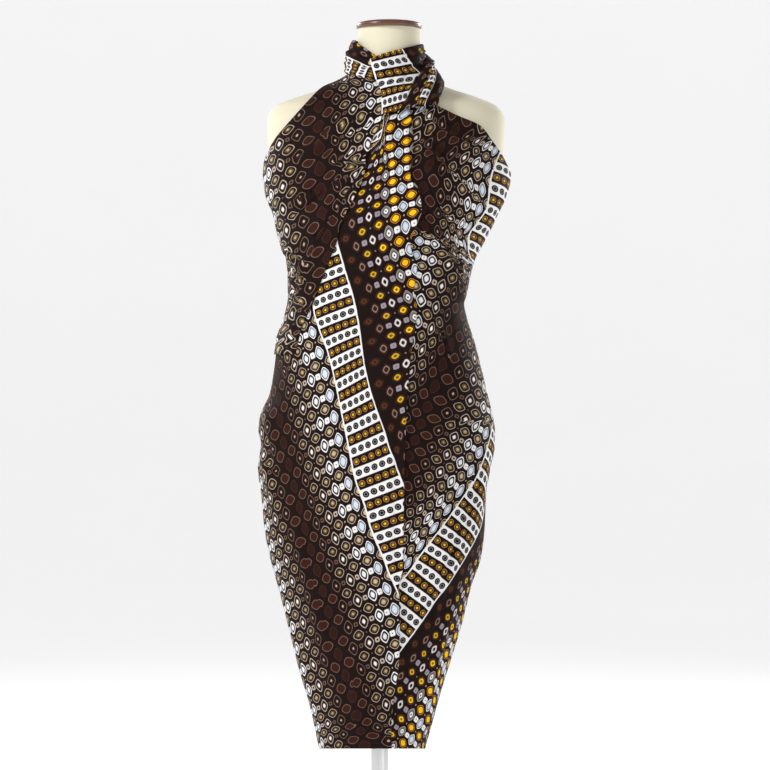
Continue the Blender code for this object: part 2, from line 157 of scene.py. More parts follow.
# Place in metres, size and watts of each soft light
LIGHTS = [
    ("key", (-3.0, -2.2, 3.1), 0.8, 128.0),
    ("fill", (2.8, -3.4, 1.2), 2.6, 26.0),
    ("back_left", (-2.6, 3.0, 2.4), 1.4, 70.0),
    ("back_right", (2.6, 3.0, 2.4), 1.4, 110.0),
]

# The dress form: z, centre x, half width, front depth, back depth
FORM = [
    (1488, 5, 50, 48, 53),
    (1460, 5, 50, 48, 54),
    (1438, 5, 52, 51, 56),
    (1418, 4, 57, 57, 60),
    (1402, 3, 75, 63, 66),
    (1390, 2, 104, 70, 74),
    (1376, 1, 148, 79, 83),
    (1362, 0, 180, 88, 91),
    (1340, 0, 193, 97, 100),
    (1300, 0, 191, 113, 110),
    (1255, 0, 186, 130, 112),
    (1215, 0, 172, 131, 108),
    (1175, -1, 154, 118, 101),
    (1130, -3, 136, 102, 94),
    (1085, -5, 121, 92, 89),
    (1048, -6, 116, 89, 88),
    (1010, -7, 121, 92, 94),
    (960, -8, 139, 101, 108),
    (900, -9, 160, 110, 124),
    (840, -10, 169, 113, 131),
    (785, -10, 166, 109, 126),
    (745, -10, 152, 98, 112),
    (718, -10, 126, 78, 90),
    (704, -10, 88, 54, 62),
    (700, -10, 56, 34, 40),
]

# The cloth round the form: z, left reach, right reach, front depth, back depth
CLOTH = [
    (1488, -46, 56, 49, 54),
    (1460, -47, 57, 49.4, 55),
    (1438, -49, 59, 52, 57),
    (1418, -56, 63, 59, 61),
    (1402, -80, 84, 69, 68),
    (1376, -150, 152, 88, 86),
    (1340, -194, 194, 106, 103),
    (1300, -194, 197, 121, 113),
    (1250, -198, 201, 131, 112.5),
    (1215, -193, 193, 132.5, 109),
    (1188, -182, 180, 129, 106),
    (1160, -176, 167, 130, 106),
    (1138, -170, 155, 125, 102),
    (1115, -161, 143, 119, 98),
    (1090, -157, 136, 113, 95),
    (1053, -155, 128, 106, 94),
    (1044, -156, 125, 105, 95),
    (1018, -162, 130, 107, 98),
    (984, -174, 141, 111, 105),
    (942, -179, 152, 116, 116),
    (900, -186, 162, 121, 128),
    (858, -203, 172, 122, 132.5),
    (837, -205, 175, 122, 133),
    (817, -201, 175, 123, 132),
    (777, -206, 168, 124, 131),
    (738, -201, 161, 126, 134),
    (676, -195, 158, 124, 131),
    (631, -186, 152, 122, 128),
    (587, -174, 137, 118, 125),
    (550, -164, 128, 114, 122),
    (506, -153, 116, 109, 118),
    (449, -139, 98, 102, 112),
    (396, -123, 82, 95, 106),
    (322, -107, 62, 86, 99),
]

# Front edges seen from the front: z, x
BODICE_TOP = [
    (1426, -70), (1418, -77), (1400, -90), (1362, -122), (1324, -158), (1300, -180), (1282, -190),
]
BODICE_FOLD = [
    (1426, -26), (1397, -16), (1368, -4), (1343, -4), (1289, -26), (1238, -37), (1196, -57),
    (1157, -73), (1139, -77), (1105, -91), (1037, -117), (1000, -134), (960, -143),
]
ROLLED_EDGE = [
    (1372, 30), (1343, 36), (1295, 41), (1270, 38), (1237, 36), (1225, 47), (1188, 54), (1160, 44),
    (1133, 36), (1102, 46), (1058, 41), (1031, 46), (958, 37), (887, 31), (821, 28), (757, 26),
    (628, 25), (590, 18), (537, 19), (477, 18), (417, 10), (376, 5), (322, 6),
]
RIGHT_TOP = [
    (1376, 66), (1360, 76), (1342, 108), (1324, 151), (1303, 168), (1279, 186), (1256, 199),
]

# Side edges as angles: z, degrees
LEFT_TUCK = [
    (1372, -23), (1340, -19), (1289, -27), (1238, -30), (1196, -40), (1157, -50), (1105, -60),
    (1037, -68), (1000, -76), (960, -85), (930, -90), (322, -90),
]

# Soft folds of the front: x and z of the top end, the middle and the low end,
# half width, height
FRONT_FOLDS = [
    (-16, 1353, -58, 1334, -139, 1298, 8, 3.5),
    (-19, 1340, -81, 1308, -159, 1237, 9, 5.0),
    (-23, 1318, -104, 1251, -162, 1185, 9, 4.5),
    (-23, 1295, -75, 1219, -133, 1110, 8, 4.0),
    (3, 1337, -13, 1243, -23, 1130, 8, 3.5),
    (23, 1344, 16, 1227, 19, 1049, 7, 3.5),
    (52, 1353, 105, 1303, 175, 1253, 8, 4.5),
    (49, 1321, 84, 1259, 162, 1191, 9, 5.0),
    (55, 1292, 97, 1203, 146, 1138, 9, 4.5),
    (62, 1217, 87, 1169, 126, 1110, 8, 4.0),
    (71, 1153, 100, 1110, 123, 1052, 7, 4.5),
    (55, 1065, 75, 1000, 100, 932, 8, 3.5),
    (-165, 1133, -136, 1110, -104, 1062, 7, 4.0),
    (-159, 1094, -133, 1065, -110, 1020, 7, 4.0),
    (-156, 1052, -139, 1026, -126, 987, 7, 3.5),
    (-201, 879, -185, 841, -178, 806, 9, 4.0),
    (-204, 786, -185, 757, -168, 692, 10, 4.0),
    (-146, 700, -115, 576, -83, 433, 8, 4.5),
    (-181, 628, -139, 482, -91, 328, 10, 4.0),
    (-58, 628, -39, 482, -49, 326, 11, 4.0),
    (-10, 563, -3, 433, -19, 326, 9, 3.5),
    (165, 838, 136, 692, 71, 563, 12, 4.5),
    (143, 773, 87, 628, 29, 498, 11, 4.5),
    (123, 628, 87, 498, 42, 333, 10, 4.0),
    (97, 498, 71, 401, 62, 326, 8, 3.5),
]

# Soft folds of the back, in the same columns
BACK_FOLDS = [
    (-150, 1215, -110, 1150, -60, 1090, 11, 4.0),
    (150, 1210, 108, 1145, 56, 1088, 11, 4.0),
    (-146, 1120, -100, 1070, -40, 1045, 9, 4.0),
    (122, 1112, 86, 1066, 30, 1042, 9, 4.0),
    (-128, 1040, -84, 1010, -30, 1004, 9, 3.5),
    (110, 1036, 70, 1006, 24, 1000, 9, 3.5),
    (-150, 880, -118, 640, -80, 330, 14, 5.0),
    (-70, 800, -60, 560, -52, 328, 14, 5.0),
    (10, 780, 0, 560, -14, 328, 13, 4.5),
    (90, 820, 66, 560, 24, 330, 14, 5.0),
    (150, 860, 112, 600, 52, 330, 13, 4.5),
]
FOLD_STEPS = 8

# The twist over the throat and round the right of the neck: angle and z of the upper edge,
# angle and z of the lower edge, layers out, height of the crown across it
STRAP_OVER = [
    (-3, 1336, 13, 1342, 3.2, 2),
    (-3, 1368, 20, 1366, 3.6, 3),
    (-12, 1397, 28, 1388, 3.6, 4),
    (-24, 1424, 44, 1404, 3.6, 4),
    (-8, 1436, 56, 1417, 3.6, 3),
    (34, 1450, 66, 1427, 2.2, 3),
    (80, 1460, 84, 1434, 0.8, 2),
    (116, 1463, 114, 1436, 0.3, 1.5),
    (146, 1460, 144, 1436, 0.1, 1.2),
    (171, 1452, 171, 1434, 0.1, 1.2),
]

# The strap round the left of the neck, in the same columns
STRAP_LEFT = [
    (-6, 1428, -14, 1398, 1.4, 2),
    (-24, 1440, -34, 1404, 1.6, 2),
    (-44, 1452, -54, 1408, 2.4, 5),
    (-70, 1464, -76, 1412, 3.0, 8),
    (-100, 1468, -100, 1414, 1.6, 6),
    (-136, 1465, -134, 1420, 0.4, 2),
    (-171, 1452, -171, 1430, 0.1, 1.2),
]

# The rolled loop low on the right of the neck, in the same columns
LOOP = [
    (17, 1341, 40, 1350, 3.2, 5),
    (24, 1361, 43, 1360, 3.0, 7),
    (33, 1380, 47, 1370, 2.2, 9),
    (45, 1397, 53, 1381, 2.6, 10),
    (58, 1414, 62, 1392, 3.2, 11),
    (72, 1431, 74, 1402, 3.3, 11),
    (88, 1442, 91, 1408, 2.7, 10),
    (110, 1447, 112, 1413, 2.0, 9),
    (134, 1446, 134, 1416, 1.5, 7),
    (156, 1440, 156, 1418, 1.35, 5),
]

# The ends below the knot: distance down from the knot, half width
TAIL = [(0, 14), (30, 19), (70, 25), (105, 22), (135, 10), (146, 3)]
TAIL_TOP_Z = 1414
TAIL_GRID = (52, 26)
# How far each end hangs from the middle, and how much further for each millimetre down
TAIL_ASIDE = 18
TAIL_LEAN = 0.17
# Pleats: height, half turns across and where they are whole; finer ones, with how they twist
TAIL_PLEATS = (4, 1.5, 60)
TAIL_FINE = (0.9, 4.5, 30)
# Lift off the form: at the top, how much less and how far down, how much more under the knot
TAIL_LIFT = 7.5
TAIL_LOWER = (3, 120)
TAIL_UNDER_KNOT = (6, 24)
TAIL_PRINT_RATE = 1.3

# Finer creases of the front, in the columns of the soft folds; below 0 is a trough
FRONT_CREASES = [
    (-8, 1345, -45, 1322, -90, 1312, 4, 2.2),
    (-14, 1330, -60, 1296, -110, 1262, 5, -0.9),
    (-18, 1310, -62, 1262, -105, 1205, 5, 0.9),
    (-26, 1285, -58, 1232, -98, 1168, 5, -0.8),
    (-40, 1262, -78, 1196, -120, 1140, 3.5, 2.0),
    (-96, 1290, -128, 1270, -166, 1262, 4, 1.8),
    (-70, 1240, -120, 1200, -164, 1168, 4, -1.8),
    (8, 1338, 2, 1290, -2, 1210, 3.5, 2.0),
    (16, 1342, 20, 1280, 12, 1200, 3, -1.8),
    (28, 1335, 30, 1280, 27, 1200, 3, 2.2),
    (0, 1200, -12, 1120, -24, 1040, 4, -1.4),
    (46, 1340, 80, 1318, 130, 1296, 4, -2.0),
    (50, 1335, 84, 1298, 150, 1268, 3.5, 2.0),
    (52, 1308, 88, 1258, 160, 1222, 4, -2.0),
    (56, 1270, 92, 1226, 150, 1172, 4, 2.0),
    (60, 1240, 88, 1192, 138, 1136, 4, -2.0),
    (74, 1182, 88, 1140, 112, 1096, 3.5, 2.4),
    (66, 1158, 84, 1120, 100, 1070, 3.5, -2.0),
    (118, 1146, 122, 1120, 112, 1082, 3.5, 2.4),
    (62, 1010, 78, 992, 90, 955, 3.5, 2.0),
    (-172, 1146, -150, 1120, -118, 1090, 3.5, 2.4),
    (-168, 1116, -146, 1088, -118, 1052, 3.5, -2.0),
    (-160, 1080, -142, 1056, -118, 1028, 3.5, 2.2),
    (-156, 1062, -146, 1040, -126, 1008, 3, -1.8),
    (-158, 1032, -150, 1008, -136, 976, 3.5, 2.2),
    (-188, 1000, -176, 976, -152, 950, 4, 2.0),
    (-190, 968, -178, 944, -158, 920, 4, -1.8),
    (-196, 932, -184, 912, -164, 892, 4, 2.0),
    (-203, 860, -190, 826, -182, 780, 4, -2.0),
    (-204, 812, -190, 780, -176, 736, 4.5, 2.2),
    (-150, 760, -128, 660, -108, 560, 5, -1.8),
    (-120, 800, -100, 690, -74, 560, 5, 1.6),
    (-64, 700, -44, 560, -34, 430, 5, -1.6),
    (-20, 640, -6, 520, -8, 400, 5, 1.6),
    (12, 860, 6, 700, 10, 540, 5, 1.4),
    (70, 900, 88, 780, 70, 640, 5, 1.6),
    (150, 800, 118, 680, 62, 560, 5, -1.8),
    (130, 720, 92, 590, 50, 470, 5, 1.8),
    (110, 560, 84, 450, 60, 360, 4.5, -1.8),
]

# Finer creases of the back, in the same columns
BACK_CREASES = [
    (-166, 1190, -128, 1142, -78, 1100, 4.5, -2.0),
    (166, 1186, 126, 1138, 72, 1096, 4.5, -2.0),
    (-158, 1150, -116, 1100, -60, 1070, 4, 2.2),
    (150, 1144, 108, 1096, 54, 1066, 4, 2.2),
    (-140, 1084, -96, 1048, -44, 1026, 4, -2.0),
    (128, 1078, 88, 1044, 40, 1024, 4, -2.0),
    (-138, 1012, -90, 988, -40, 980, 4, 2.0),
    (120, 1006, 80, 984, 36, 978, 4, 2.0),
    (-172, 840, -140, 640, -104, 420, 6, -2.0),
    (-112, 860, -92, 620, -70, 400, 6, 1.8),
    (-36, 820, -30, 600, -34, 380, 6, -1.8),
    (46, 840, 32, 600, 4, 400, 6, 1.8),
    (124, 880, 92, 620, 40, 400, 6, -2.0),
]

# Tucks of the front, where a fold has swallowed some cloth and its print: x and z of the top end,
# the middle and the low end, how high the lip stands, cloth taken in across and down.
# The lip is on the left of the way down.
FRONT_TUCKS = [
    (-22, 1338, -70, 1322, -132, 1276, 2.0, 2, 5),
    (-48, 1236, -96, 1222, -160, 1196, 2.8, 3, 10),
    (-18, 1290, -54, 1218, -104, 1148, 1.4, 1, 2),
    (-86, 1176, -116, 1128, -134, 1082, 2.6, 6, 5),
    (-172, 1142, -146, 1118, -112, 1098, 3.0, 3, 12),
    (-168, 1122, -150, 1098, -118, 1070, 3.0, 3, 10),
    (-162, 1094, -146, 1074, -120, 1050, 2.6, 3, 9),
    (-158, 1066, -142, 1048, -124, 1020, 2.6, 3, 8),
    (-196, 998, -176, 982, -142, 968, 2.8, 2, 9),
    (-196, 966, -182, 948, -160, 936, 2.6, 2, 8),
    (-204, 800, -188, 780, -160, 770, 2.4, 2, 6),
    (52, 1350, 92, 1316, 150, 1290, 2.4, 3, 8),
    (50, 1296, 92, 1262, 164, 1186, 3.0, 4, 10),
    (58, 1236, 84, 1196, 126, 1150, 2.4, 5, 6),
    (48, 1152, 98, 1128, 124, 1060, 3.4, 7, 8),
    (78, 1012, 94, 982, 102, 944, 2.4, 7, 2),
    (60, 1196, 74, 1184, 90, 1172, 2.4, 2, 6),
    (-146, 700, -112, 590, -86, 470, 2.0, 4, 0),
    (-60, 500, -52, 420, -50, 326, 1.8, 4, 0),
    (150, 820, 124, 700, 88, 600, 1.8, 4, 0),
]
TUCK_FADE = 34.0
TUCK_LIP = 7.5
TUCK_DROP = 2.2

# Print lines on the front: (place across the cloth, then z and x of points down the line).
# The places count from the left edge of the border that crosses the front skirt.
SKIRT_LINES = [
    (-122, [
        (1100, -176), (1000, -176), (872, -169), (832, -164), (798, -156), (710, -133), (665, -122),
        (594, -102), (522, -83), (480, -73), (451, -60), (322, -34)]),
    (0, [
        (1372, -28), (1340, -30), (1310, -32), (1292, -42), (1262, -80), (1230, -116), (1190, -138),
        (1160, -144), (1100, -132), (1037, -117), (995, -104), (960, -91), (911, -79), (869, -71),
        (820, -61), (764, -50), (718, -34), (687, -26), (624, 0), (592, 12), (572, 21), (480, 44),
        (400, 60), (322, 72)]),
    (70, [
        (1372, 2), (1340, -2), (1320, -4), (1298, -8), (1284, -22), (1262, -46), (1236, -66),
        (1200, -80), (1186, -82), (1140, -75), (1101, -65), (1050, -50), (1007, -42), (947, -34),
        (911, -26), (874, -15), (841, -3), (804, 9), (770, 21), (757, 26), (700, 50), (600, 86),
        (500, 100)]),
    (158, [
        (1372, 10), (1340, 5), (1321, 2), (1300, -1), (1280, 0), (1250, 2), (1210, 5), (1139, 14),
        (1050, 40), (960, 70)]),
    (179, [
        (1372, 34), (1355, 36), (1340, 30), (1321, 19), (1300, 18), (1210, 24), (1139, 34),
        (1050, 60), (960, 90)]),
]
BODICE_LINES = [
    (-224, [
        (1424, -200), (1330, -198), (1255, -196), (1206, -190), (1162, -186), (1137, -184),
        (1080, -182), (1000, -190), (940, -206)]),
    (-122, [
        (1424, -103), (1373, -103), (1292, -103), (1210, -99), (1137, -91), (1050, -81),
        (960, -76)]),
    (-20, [
        (1424, -26), (1368, -3), (1343, -3), (1310, -8), (1240, -4), (1137, 2), (960, 8)]),
]
# The right stretch counts from the left edge of the border that crosses it
RIGHT_LINES = [
    (-204, [
        (1384, 110), (1190, 92), (1112, 73), (1052, 56), (1007, 50), (974, 38), (887, -8),
        (806, -40), (700, -80), (600, -150), (322, -290)]),
    (-122, [
        (1384, 176), (1190, 158), (1101, 136), (1065, 126), (1034, 118), (974, 100), (887, 68),
        (806, 39), (725, 10), (660, -30), (595, -66), (534, -104), (322, -200)]),
    (0, [
        (1384, 290), (1190, 274), (1101, 240), (1034, 218), (960, 206), (887, 184), (846, 170),
        (822, 164), (780, 149), (749, 133), (717, 111), (690, 90), (666, 71), (640, 51), (616, 35),
        (602, 23), (500, -50), (322, -176)]),
    (70, [
        (1384, 360), (1190, 340), (1034, 282), (887, 240), (780, 190), (722, 160), (685, 152),
        (661, 141), (634, 125), (608, 108), (584, 92), (564, 76), (547, 65), (517, 44), (479, 16),
        (400, -38), (322, -76)]),
]
# The same stretch above the tuck at the waist
RIGHT_BUST_LINES = [
    (-224, [
        (1384, 60), (1352, 44), (1335, 22), (1312, 6), (1290, -4), (1270, -16), (1238, -36),
        (1196, -40), (322, -40)]),
    (-122, [
        (1384, 120), (1324, 112), (1283, 83), (1238, 62), (1196, 58), (1154, 62), (1100, 84),
        (1050, 108), (322, 108)]),
    (0, [
        (1384, 216), (1324, 206), (1283, 180), (1238, 164), (1196, 159), (1170, 143), (1150, 130),
        (1130, 129), (1104, 142), (1080, 166), (1050, 190), (322, 190)]),
    (70, [
        (1384, 280), (1196, 230), (1150, 196), (1104, 214), (1050, 260), (322, 260)]),
]
# The bust's print lies this much further down than the print below the tuck
BUST_SLIP = 9.0
# The next border of the right stretch never shows: its print stops short of this place
HIDDEN_BORDER = -243.0
# The tuck at the waist: x and z of points along it
WAIST_TUCK = [(40, 1156), (47, 1154), (74, 1146), (100, 1114), (126, 1049), (140, 1010)]
# Steepness of the print's rows across each stretch, by z: above 0 rises to the right
LEFT_ROWS = [(1424, 0.50), (1340, 0.48), (1200, 0.46), (1100, 0.42), (960, 0.38), (322, 0.38)]
SKIRT_ROWS = [(1424, 0.40), (1200, 0.38), (322, 0.38)]
RIGHT_ROWS = [
    (1384, -0.40), (1200, -0.30), (1080, -0.44), (900, -0.44), (760, -0.66), (660, -0.75),
    (322, -0.75),
]

# The print, in millimetres of cloth: borders, and the two fields between them
COLUMN = 13.6
ROW_PAIR = 35.5
BORDER = 70.0
YELLOW_FIELD = 16 * COLUMN
TAN_FIELD = 18 * COLUMN
REPEAT = 2 * BORDER + YELLOW_FIELD + TAN_FIELD
BORDER_LINE = 2.5
RING_STEP = (BORDER - 2 * BORDER_LINE) / 5
RING_RADIUS = 5.5
# Half width, half height and roundness of each motif
LENS = (8.2, 11.8, 1.45)
OVAL = (9.3, 8.7, 1.52)
SQUARE = (4.5, 4.8, 4.5)
DOT = (1.2, 1.4, 2.0)
RING_BLUR = 0.03
PRINT_WOBBLE = 0.0012
# Print lines on the cloth never come closer than this
LEAST_GAP = 5.0
# Print carried past the outermost lines, for each millimetre of cloth
PRINT_RATE = 0.92
# Print run down a line, at most, for each millimetre of height
FASTEST_DOWN = 1.3
# How far the rows dip in the middle of the back
BACK_DIP = 42.0
# Two of the cloth's threads, in metres; the knit's ribs and courses, in radians for a metre
THREAD = 0.0007
KNIT_RIB = 5200.0
KNIT_COURSE = 4200.0
# The sides where the back's print joins the front's: angle, and points read across the front
SIDE_ANGLE = 88
SIDE_POINTS = 90
# Heights over which the left side changes from the skirt's print to the bodice's, and the height
# where the right side's rows are set against the left side's
SIDE_WAIST = (970, 1060)
SIDE_MATCH_Z = 700

# Screen colours of the dyes, 0 to 255
DYES = {
    "ground": (23, 12, 10), "umber": (52, 24, 16), "rust": (84, 46, 34), "cocoa": (120, 92, 78),
    "stone": (178, 160, 146), "sand": (198, 176, 144), "white": (230, 228, 227),
    "ice": (202, 213, 230), "grey": (128, 126, 130), "lilac": (150, 138, 148),
    "yellow": (244, 190, 20), "gold": (196, 156, 34), "orange": (190, 118, 44),
    "olive": (102, 86, 34), "tan": (170, 122, 70), "faded": (70, 56, 48),
}
# Rings of each motif by how full its column is: from and to fullness, then outer radius, dye.
# A table that ends short of 1 goes on in the ground's colour.
TAN_STYLES = {
    "lens": [
        (-0.04, 0.03, [(0.84, "umber"), (0.94, "rust")]),
        (0.10, 0.18, [(0.20, "stone"), (0.40, "umber"), (0.84, "ground"), (0.95, "cocoa")]),
        (0.26, 0.38, [(0.32, "white"), (0.44, "cocoa"), (0.80, "ground"), (0.96, "stone")]),
        (0.48, 0.58, [(0.42, "white"), (0.52, "grey"), (0.76, "ground"), (0.97, "white")]),
        (0.72, 0.82, [(0.54, "ice"), (0.60, "grey"), (0.66, "ice"), (0.80, "ground"),
                      (0.97, "white")]),
    ],
    "oval": [
        (-0.06, 0.02, [(0.84, "umber"), (0.95, "rust")]),
        (0.06, 0.10, [(0.84, "umber"), (0.96, "cocoa")]),
        (0.18, 0.30, [(0.20, "stone"), (0.46, "olive"), (0.60, "umber"), (0.84, "ground"),
                      (0.97, "stone")]),
        (0.50, 0.62, [(0.34, "sand"), (0.56, "olive"), (0.66, "umber"), (0.82, "ground"),
                      (0.97, "stone")]),
        (0.74, 0.84, [(0.50, "sand"), (0.62, "olive"), (0.82, "ground"), (0.97, "stone")]),
    ],
    "square": [
        (0.26, 0.36, [(0.36, "ground"), (0.70, "cocoa")]),
        (0.40, 0.52, [(0.34, "ground"), (0.84, "stone")]),
        (0.66, 0.78, [(0.20, "ground"), (1.0, "white")]),
    ],
}
YELLOW_STYLES = {
    "lens": [
        (0.06, 0.14, [(0.38, "umber"), (0.52, "cocoa"), (0.84, "umber")]),
        (0.22, 0.32, [(0.40, "umber"), (0.60, "stone"), (0.84, "umber")]),
        (0.42, 0.54, [(0.30, "ground"), (0.62, "white"), (0.86, "umber")]),
        (0.60, 0.70, [(0.16, "ground"), (0.46, "white"), (0.62, "ground"), (0.78, "grey"),
                      (0.84, "ground"), (0.96, "stone")]),
        (0.80, 0.90, [(0.52, "ice"), (0.58, "grey"), (0.64, "ice"), (0.78, "ground"),
                      (0.97, "white")]),
    ],
    "oval": [
        (-0.04, 0.06, [(0.30, "umber"), (0.44, "rust"), (0.86, "umber")]),
        (0.12, 0.24, [(0.34, "olive"), (0.52, "gold"), (0.66, "umber"), (0.84, "umber")]),
        (0.32, 0.46, [(0.26, "olive"), (0.58, "yellow"), (0.72, "ground"), (0.90, "rust")]),
        (0.62, 0.72, [(0.62, "yellow"), (0.80, "ground"), (0.97, "orange")]),
    ],
    "square": [
        (0.18, 0.30, [(0.16, "ground"), (0.92, "lilac")]),
        (0.66, 0.78, [(0.20, "ground"), (1.0, "white")]),
    ],
}
BORDER_LIGHT = [(0.40, "ground"), (0.56, "grey"), (0.95, "ground"), (1.0, "white")]
BORDER_DARK = [(0.30, "yellow"), (0.54, "olive"), (0.72, "ground"), (0.90, "tan")]

# The border on the twist at the throat: height, then how far round the neck its left and right
# edges lie from the front. Its rows: height of the first, print for each millimetre down, lean.
TWIST_EDGES = [
    (1332, -4, 22), (1350, -4, 22), (1372, -6, 24), (1384, -10, 30), (1394, -13, 46),
    (1405, -16, 52), (1418, -22, 46), (1431, -28, 39), (1449, -36, 32), (1466, -44, 26),
]
TWIST_ROWS = (1442.0, 1.15, 0.23)
NECK_ROUND = 70.0
# Degrees that the loop's upper edge is moved in under the twist
LOOP_TUCKED = 7.0

# Creases along the straps: place across, drift along the strap, half width, height
OVER_CREASES = [
    (0.30, 0.10, 0.050, 1.6), (0.52, -0.12, 0.045, -1.8), (0.70, 0.06, 0.05, 1.8),
    (0.86, -0.10, 0.04, -1.6), (0.14, 0.16, 0.04, -1.2),
]
LEFT_CREASES = [
    (0.22, 0.08, 0.05, -2.0), (0.40, -0.10, 0.05, 2.0), (0.60, 0.10, 0.05, -2.2),
    (0.80, -0.08, 0.05, 1.8),
]
LOOP_CREASES = [
    (0.24, 0.10, 0.05, 2.2), (0.38, 0.00, 0.04, -2.4), (0.56, 0.10, 0.05, 2.0),
    (0.70, -0.06, 0.04, -2.6), (0.86, 0.04, 0.05, 1.6),
]
STRAP_ROWS = 150
STRAP_COLUMNS = 34
# How the print lies across the straps: share of the way across, place
LEFT_LAID = [(0, 108), (0.52, 70), (1, 18)]
LOOP_LAID = [(0, 78), (0.42, 112), (0.45, 40), (0.68, 70), (1, 104)]
# The knot: rows and columns, angles, heights
KNOT_GRID = (34, 46)
KNOT_ANGLES = (158.0, 202.0)
KNOT_Z = (1460.0, 1407.0)
# How far off the form its rim lies, how much more low down and between which heights, its own
# height, where its print starts and how that is turned
KNOT_SEAT = 10.5
KNOT_LOWER = 8
KNOT_LOWER_Z = (1440, 1416)
KNOT_HEIGHT = 19
KNOT_PLACE = 120
KNOT_TURN = (0.8, 0.6)
# Creases of the knot: lean, place across, half width, depth
KNOT_CREASES = [
    (0.45, 0.0, 0.16, 6.0), (-0.5, 0.5, 0.10, 2.6), (-0.4, -0.55, 0.10, 2.6), (0.8, 0.3, 0.07, 1.8),
    (0.7, -0.32, 0.07, 1.8),
]

# The form's cover: rows and columns. The cap: its middle, then radius and height of its profile.
COVER_GRID = (260, 160)
CAP_MIDDLE = (5.0, -2.5, CAP_Z + 0.3)
CAP_PROFILE = [
    (49, 0), (52.2, 0.2), (53, 1.2), (53, 2.6), (52.3, 3.2), (52.3, 3.8), (53, 4.4),
    (52.8, 6.4), (51.6, 7.6), (50.6, 7.9), (49.6, 8.6), (46, 9.6), (40, 10.6), (30, 11.6),
    (20, 12.2), (8, 12.5),
]
CAP_SHARP = 40


def smooth_curve(keys, values, at):
    """Values between the keys of a table, on a smooth curve that doesn't overshoot."""
    order = np.argsort(keys)
    keys = np.asarray(keys, float)[order]
    values = np.asarray(values, float)[order]
    step = np.diff(keys)
    slope = np.diff(values) / step
    tangent = np.zeros(len(keys))
    tangent[0] = slope[0]
    tangent[-1] = slope[-1]
    same = slope[:-1] * slope[1:] > 0
    mean = 2 * slope[:-1] * slope[1:] / np.where(same, slope[:-1] + slope[1:], 1.0)
    tangent[1:-1] = np.where(same, mean, 0.0)
    at = np.clip(at, keys[0], keys[-1])
    i = np.clip(np.searchsorted(keys, at, side="right") - 1, 0, len(step) - 1)
    t = (at - keys[i]) / step[i]
    rise = values[i] * (2 * t**3 - 3 * t**2 + 1) + values[i + 1] * (3 * t**2 - 2 * t**3)
    bend = tangent[i] * (t**3 - 2 * t**2 + t) + tangent[i + 1] * (t**3 - t**2)
    return rise + bend * step[i]


def column(table, at, place):
    keys = [row[0] for row in table]
    return smooth_curve(keys, [row[place] for row in table], at)


def smooth_step(low, high, value):
    t = np.clip((value - low) / (high - low), 0.0, 1.0)
    return t * t * (3 - 2 * t)


def ellipse_reach(angle, centre, half_width, front, back):
    """Distance from the axis to an ellipse whose middle is off the axis, along an angle."""
    sine = np.sin(angle)
    cosine = np.cos(angle)
    depth = np.where(cosine > 0, front, back)
    square = (sine / half_width) ** 2 + (cosine / depth) ** 2
    linear = -centre * sine / half_width**2
    constant = (centre / half_width) ** 2 - 1
    return (-linear + np.sqrt(linear**2 - square * constant)) / square


def form_reach(angle, z):
    parts = [column(FORM, z, place) for place in (1, 2, 3, 4)]
    return ellipse_reach(angle, *parts)


def fold_line(row):
    """Points along the curved crest of a fold, through its three given points."""
    start, middle, end = (np.array(row[k : k + 2], float) for k in (0, 2, 4))
    pull = 2 * middle - (start + end) / 2
    t = np.linspace(0, 1, FOLD_STEPS + 1)[:, None]
    return start * (1 - t) ** 2 + 2 * pull * t * (1 - t) + end * t**2


def nearest_on(line, x, z):
    """Distance to a line, its side going down it (above 0 on the left) and the place along it."""
    nearest = np.full(x.shape, 1e9)
    place = np.zeros(x.shape)
    side = np.zeros(x.shape)
    for k, (here, there) in enumerate(zip(line, line[1:])):
        run = there - here
        along = np.clip(((x - here[0]) * run[0] + (z - here[1]) * run[1]) / run.dot(run), 0, 1)
        out_x = x - here[0] - along * run[0]
        out_z = z - here[1] - along * run[1]
        away = np.hypot(out_x, out_z)
        closer = away < nearest
        place = np.where(closer, (k + along) / FOLD_STEPS, place)
        side = np.where(closer, np.sign(run[0] * out_z - run[1] * out_x), side)
        nearest = np.minimum(away, nearest)
    return nearest, side, place


def close_to(line, room, x, z):
    """Which points lie in the box round a line, with some room."""
    low = line.min(axis=0) - room
    high = line.max(axis=0) + room
    return (x > low[0]) & (x < high[0]) & (z > low[1]) & (z < high[1])


def faded_ends(place, whole_from, whole_to):
    """0 at both ends of a line, 1 between the two given places along it."""
    return smooth_step(0.0, whole_from, place) * smooth_step(1.0, whole_to, place)


def fold_height(table, x, z):
    """Sum of the soft ridges and troughs of a table at a point seen from the front or the back."""
    x, z = np.broadcast_arrays(x, z)
    total = np.zeros(x.shape)
    for row in table:
        half_width, height = row[6:]
        line = fold_line(row)
        near = close_to(line, 3 * half_width, x, z)
        away, _, place = nearest_on(line, x[near], z[near])
        ends = faded_ends(place, *FOLD_ENDS)
        total[near] += height * ends * np.exp(-((away / half_width) ** 2))
    return np.maximum(total, CREASE_FLOOR)


def tuck_height(x, z):
    """The tucks' lips: a soft rise on one side of the line and a sharp drop on the other."""
    x, z = np.broadcast_arrays(x, z)
    total = np.zeros(x.shape)
    for row in FRONT_TUCKS:
        line = fold_line(row)
        near = close_to(line, 3 * TUCK_LIP, x, z)
        away, side, place = nearest_on(line, x[near], z[near])
        ends = faded_ends(place, *TUCK_ENDS)
        width = np.where(side > 0, TUCK_LIP, TUCK_DROP)
        total[near] += row[6] * ends * np.exp(-((away / width) ** 2))
    return total


